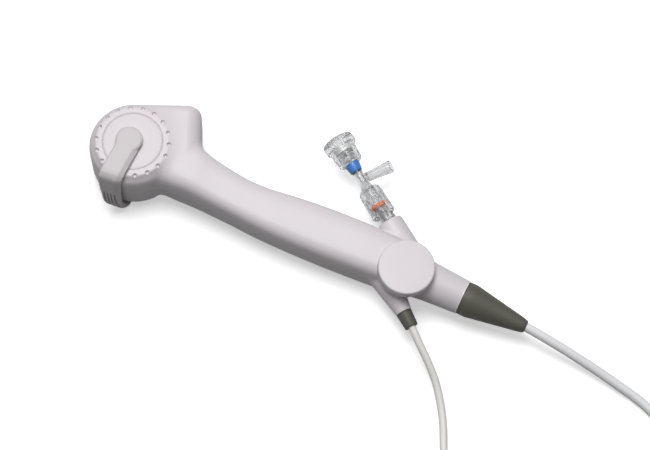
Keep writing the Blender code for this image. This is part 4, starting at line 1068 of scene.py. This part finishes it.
def makeAdapterBody():
    a = adapter
    flangeEnd, thread = a["flange"] + a["flangeThick"], a["thread"] - 0.0005

    def wave(radius, height, angle):
        inside = a["collarEnd"] + 0.0006 < height < a["threadEnd"] - 0.0004 and radius > a["thread"] - 0.0006
        return helix(height, angle, a["threadPitch"], a["threadRise"]) if inside else 0
    corners = [(0, a["maleTip"], 0), (a["maleRadius"] - 0.0003, a["maleTip"], 0.0002),
               (a["maleRadius"], a["flange"], 0.0002), (a["flangeRadius"], a["flange"], 0.0002),
               (a["flangeRadius"], flangeEnd, 0.0003), (a["stem"], flangeEnd, 0.0003),
               (a["stem"], a["nutEnd"] + 0.0005, 0.0006), (a["waist"], a["nutEnd"] + 0.0030, 0.0010),
               (a["neck"], a["collar"] - 0.0010, 0.0006), (a["neck"], a["collarEnd"] + gap, 0.0001),
               (thread, a["collarEnd"] + 2 * gap, 0.0001)]
    corners += stack(thread, a["collarEnd"] + 0.0007, a["threadEnd"] - 0.0004, 40)
    corners += [(thread, a["threadEnd"], 0.0002), (0, a["threadEnd"], 0)]
    body = addObject("adapterBody", turned(corners, 72, wave=wave))

    turn = (Matrix.Translation((0, 0, a["arm"])) @ Matrix.Rotation(a["armRoll"], 4, "Z")
            @ Matrix.Rotation(a["armTurn"], 4, "Y"))
    reach, root, flare, bore = a["armReach"], a["armRoot"], a["armFlare"], a["bore"]
    arm = turned(((0, 0, 0), (root, 0, 0), (root, 0.0020, 0.0010), (a["armRadius"], reach - 0.0030, 0.0012),
                  (flare, reach - 0.0016, 0.0006), (flare, reach, 0.0003), (0, reach, 0)), 64, steps=6)
    carve(body, shift(arm, turn), "UNION")
    carve(body, rod(bore, 0, far, 32))
    passage = turned(((0, 0.0005, 0), (bore, 0.0005, 0), (bore, 0.0026, 0.0002),
                      (a["armBore"] - 0.0003, 0.0030, 0.0002), (a["armBore"] + tight, 0.03, 0),
                      (0, 0.03, 0)), 48)
    carve(body, shift(passage, turn))
    dress(body, *clearLook, replaces=("adapter_body",), sharp=32)


def makeLuerNut():
    a = adapter
    start, end, bore, deep = a["nutStart"], a["nutEnd"], a["nutBore"], a["nutFloor"]
    outer, wide, hole = a["nutRadius"] + 0.0001, a["nutRadius"] + 0.0005, a["stem"] + gap
    low, high = start + 0.0008, end - 0.0022

    def wave(radius, height, angle):
        share = ease((height - start - 0.0012) / 0.0008) * ease((end - 0.0026 - height) / 0.0010)
        depth = a["nutRib"] * share * (0.5 - 0.5 * cos(a["nutRibs"] * angle))
        return -depth if radius > a["nutRadius"] else 0
    corners = [(bore, start, 0.0002), (wide, start, 0.0003)]
    corners += [(wide + (outer - wide) * i / 16, low + (high - low) * i / 16, 0) for i in range(17)]
    corners += [(outer, end - 0.0012, 0.0007), (a["stem"] + 0.0013, end, 0.0006), (hole, end, 0.0002),
                (hole, deep, 0), (bore, deep, 0.0006)]
    addPiece("luerNut", turned(corners, 128, True, wave=wave), *clearLook, "luer_nut", ("luer_nut",), 40)


def makeSealRing():
    major, minor = adapter["sealMajor"], adapter["sealMinor"]
    circle = [(major + minor * cos(t), adapter["sealPlace"] + minor * sin(t))
              for t in (2 * pi * i / 24 for i in range(24))]
    addPiece("sealRing", lathe(circle, 72), adapterMatrix, "orangeRubber", "orange_rubber",
             replaces=("seal_ring",))


def makeBlueCollar():
    a = adapter
    inner, wide, low, high = a["neck"] + 0.00005, a["blueEnd"], a["collar"], a["collarEnd"]
    addPiece("blueCollar", turned((
        (inner, low, 0), (a["blueStart"], low, 0.0003), (wide, high - 0.0004, 0.0004),
        (wide - 0.0003, high, 0.0002), (inner, high, 0)), 64, True),
        adapterMatrix, "bluePlastic", "blue_plastic", replaces=("blue_collar",), sharp=50)


def makeSealCap():
    a = adapter
    wide, mouth, bore = a["capRadius"] + 0.0003, a["capMouth"], a["capBore"]
    end, deep = a["capEnd"], a["capFloor"]

    def wave(radius, height, angle):
        depth = a["capRib"] * (0.5 - 0.5 * cos(a["capRibs"] * angle)) ** 2
        return 0 if radius < a["capRadius"] - tight else -depth
    corners = [(bore, a["cap"], 0.0002), (a["capStart"], a["cap"], 0.0006),
               (a["capWaist"], a["capFlange"] - 0.0002, 0.0003), (wide, a["capFlange"] + 0.0003, 0.0003)]
    corners += stack(wide, a["capFlange"] + 0.0012, end - 0.0010, 5)
    corners += [(a["capRadius"] - 0.0003, end, 0.0004), (mouth + 0.0014, end, 0.0003),
                (mouth, end - 0.0014, 0.0003), (mouth, deep, 0.0002), (bore, deep, 0.0005)]
    addPiece("sealCap", turned(corners, 168, True, wave=wave), *clearLook, "seal_cap", ("seal_cap",), 40)


makeLuerPort()
makeAdapterBody()
makeLuerNut()
makeSealRing()
makeBlueCollar()
makeSealCap()
print("adapter done")


# Screws with a cross recess
def makeScrews():
    radius, shank, end = screw["head"], screw["shank"], screw["end"]
    seat = screw["seat"] - gap
    low, deep = seat - screw["thick"], seat - screw["thick"] * 0.45
    for number, place in enumerate(screw["places"], 1):
        item = addObject("shellScrew%d" % number, turned((
            (0, low, 0), (radius - 0.0003, low, 0.0005), (radius, seat - screw["thick"] * 0.4, 0.0003),
            (radius, seat, 0.0001), (shank, seat, 0.0002), (shank, end - 0.001, 0), (0, end, 0)), 40))
        for x, y in (screw["cross"], screw["cross"][::-1]):
            carve(item, box((-x, -y, -far), (x, y, deep)))
        dress(item, handleMatrix @ Matrix.Translation((*place, 0)), "turnedSteel", "steel",
              replaces=("shell_screw_%d" % number,), sharp=30)


makeScrews()

# The pieces inside keep their solids and take a finish from their slot
slotFinish = {"steel": "turnedSteel", "bush_plastic": "bushPlastic", "black_rubber": "blackRubber",
              "board": "boardGreen"}
for row in frame["record"]["subparts"]:
    node = frame["nodes"][row["node"]]
    if not node.hide_render and row["material_slot"] in slotFinish:
        node.data.materials.clear()
        node.data.materials.append(materials[slotFinish[row["material_slot"]]])
print("inner pieces done")

# Floor, lamp and world
room = {
    "floor": 3.0,
    "floorSeen": 1.0,  # tone of the floor to the camera, in reflections, and as a bounce
    "floorMirrored": 0.90,
    "floorBounce": 0.20,
    "floorLift": 0.45,  # light of its own, only to the camera
    "key": {"place": (-0.07, 0.20, 1.00), "size": 0.60, "power": 7.40},
    "ambient": (0.165, 0.50),  # toward the viewer, and away
    "mirrored": (0.35, 0.95),  # below, and above
}


def rayShare(tree, *names):  # 1 for the named kinds of ray
    path = addNode(tree, "LightPath")
    total = path.outputs[names[0]]
    for name in names[1:]:
        largest = addNode(tree, "Math")
        largest.operation = "MAXIMUM"
        tree.links.new(total, largest.inputs[0])
        tree.links.new(path.outputs[name], largest.inputs[1])
        total = largest.outputs[0]
    return total


def blendValue(tree, share, low, high):
    mixed = addNode(tree, "Mix")
    tree.links.new(share, mixed.inputs["Factor"])
    for socket, value in ((mixed.inputs[2], low), (mixed.inputs[3], high)):
        if isinstance(value, bpy.types.NodeSocket):
            tree.links.new(value, socket)
        else:
            socket.default_value = value
    return mixed.outputs[0]


def makeFloor():
    half = room["floor"] / 2
    bm = bmesh.new()
    bm.faces.new([bm.verts.new((x * half, y * half, 0)) for x, y in ((-1, -1), (1, -1), (1, 1), (-1, 1))])
    floor = addObject("floor", bm)
    material = bpy.data.materials.new("paleFloor")
    material.use_nodes = True
    tree = material.node_tree
    shader = setInputs(tree.nodes["Principled BSDF"], {
        "Roughness": 0.9, "Specular IOR Level": 0.0, "Emission Color": (1, 1, 1, 1)})
    seen, mirrored = rayShare(tree, "Is Camera Ray"), rayShare(tree, "Is Glossy Ray", "Is Transmission Ray")
    tone = blendValue(tree, mirrored, room["floorBounce"], room["floorMirrored"])
    tree.links.new(blendValue(tree, seen, tone, room["floorSeen"]), shader.inputs["Base Color"])
    tree.links.new(blendValue(tree, seen, 0.0, room["floorLift"]), shader.inputs["Emission Strength"])
    floor.data.materials.append(material)


def makeLamp(name, lamp):
    data = bpy.data.lights.new(name, "AREA")
    data.shape = "DISK"
    data.size = lamp["size"]
    data.energy = lamp["power"]
    item = addItem(name, data)
    target = Vector(cameraView["target"])
    item.location = target + Vector(lamp["place"])
    item.rotation_euler = (-Vector(lamp["place"])).to_track_quat("-Z", "Y").to_euler()


def between(tree, value, limits):  # 0 to 1 becomes the first limit to the second
    node = addNode(tree, "MapRange", zip(("To Min", "To Max"), limits))
    tree.links.new(value, node.inputs["Value"])
    return node.outputs["Result"]


def makeWorld():
    world = bpy.data.worlds.new("studio")
    bpy.context.scene.world = world
    world.use_nodes = True
    tree = world.node_tree
    sky = setInputs(tree.nodes["Background"], {"Color": (1, 1, 1, 1)})
    parts = addNode(tree, "SeparateXYZ")
    tree.links.new(addNode(tree, "TexCoord").outputs["Generated"], parts.inputs["Vector"])
    mirrored = rayShare(tree, "Is Glossy Ray", "Is Transmission Ray")
    strength = blendValue(tree, mirrored, between(tree, parts.outputs["Y"], room["ambient"]),
                          between(tree, parts.outputs["Z"], room["mirrored"]))
    tree.links.new(blendValue(tree, rayShare(tree, "Is Camera Ray"), strength, 1.0), sky.inputs["Strength"])


makeFloor()
makeLamp("keyLamp", room["key"])
makeWorld()
bpy.context.scene.view_settings.view_transform = "Standard"
print("stage done")
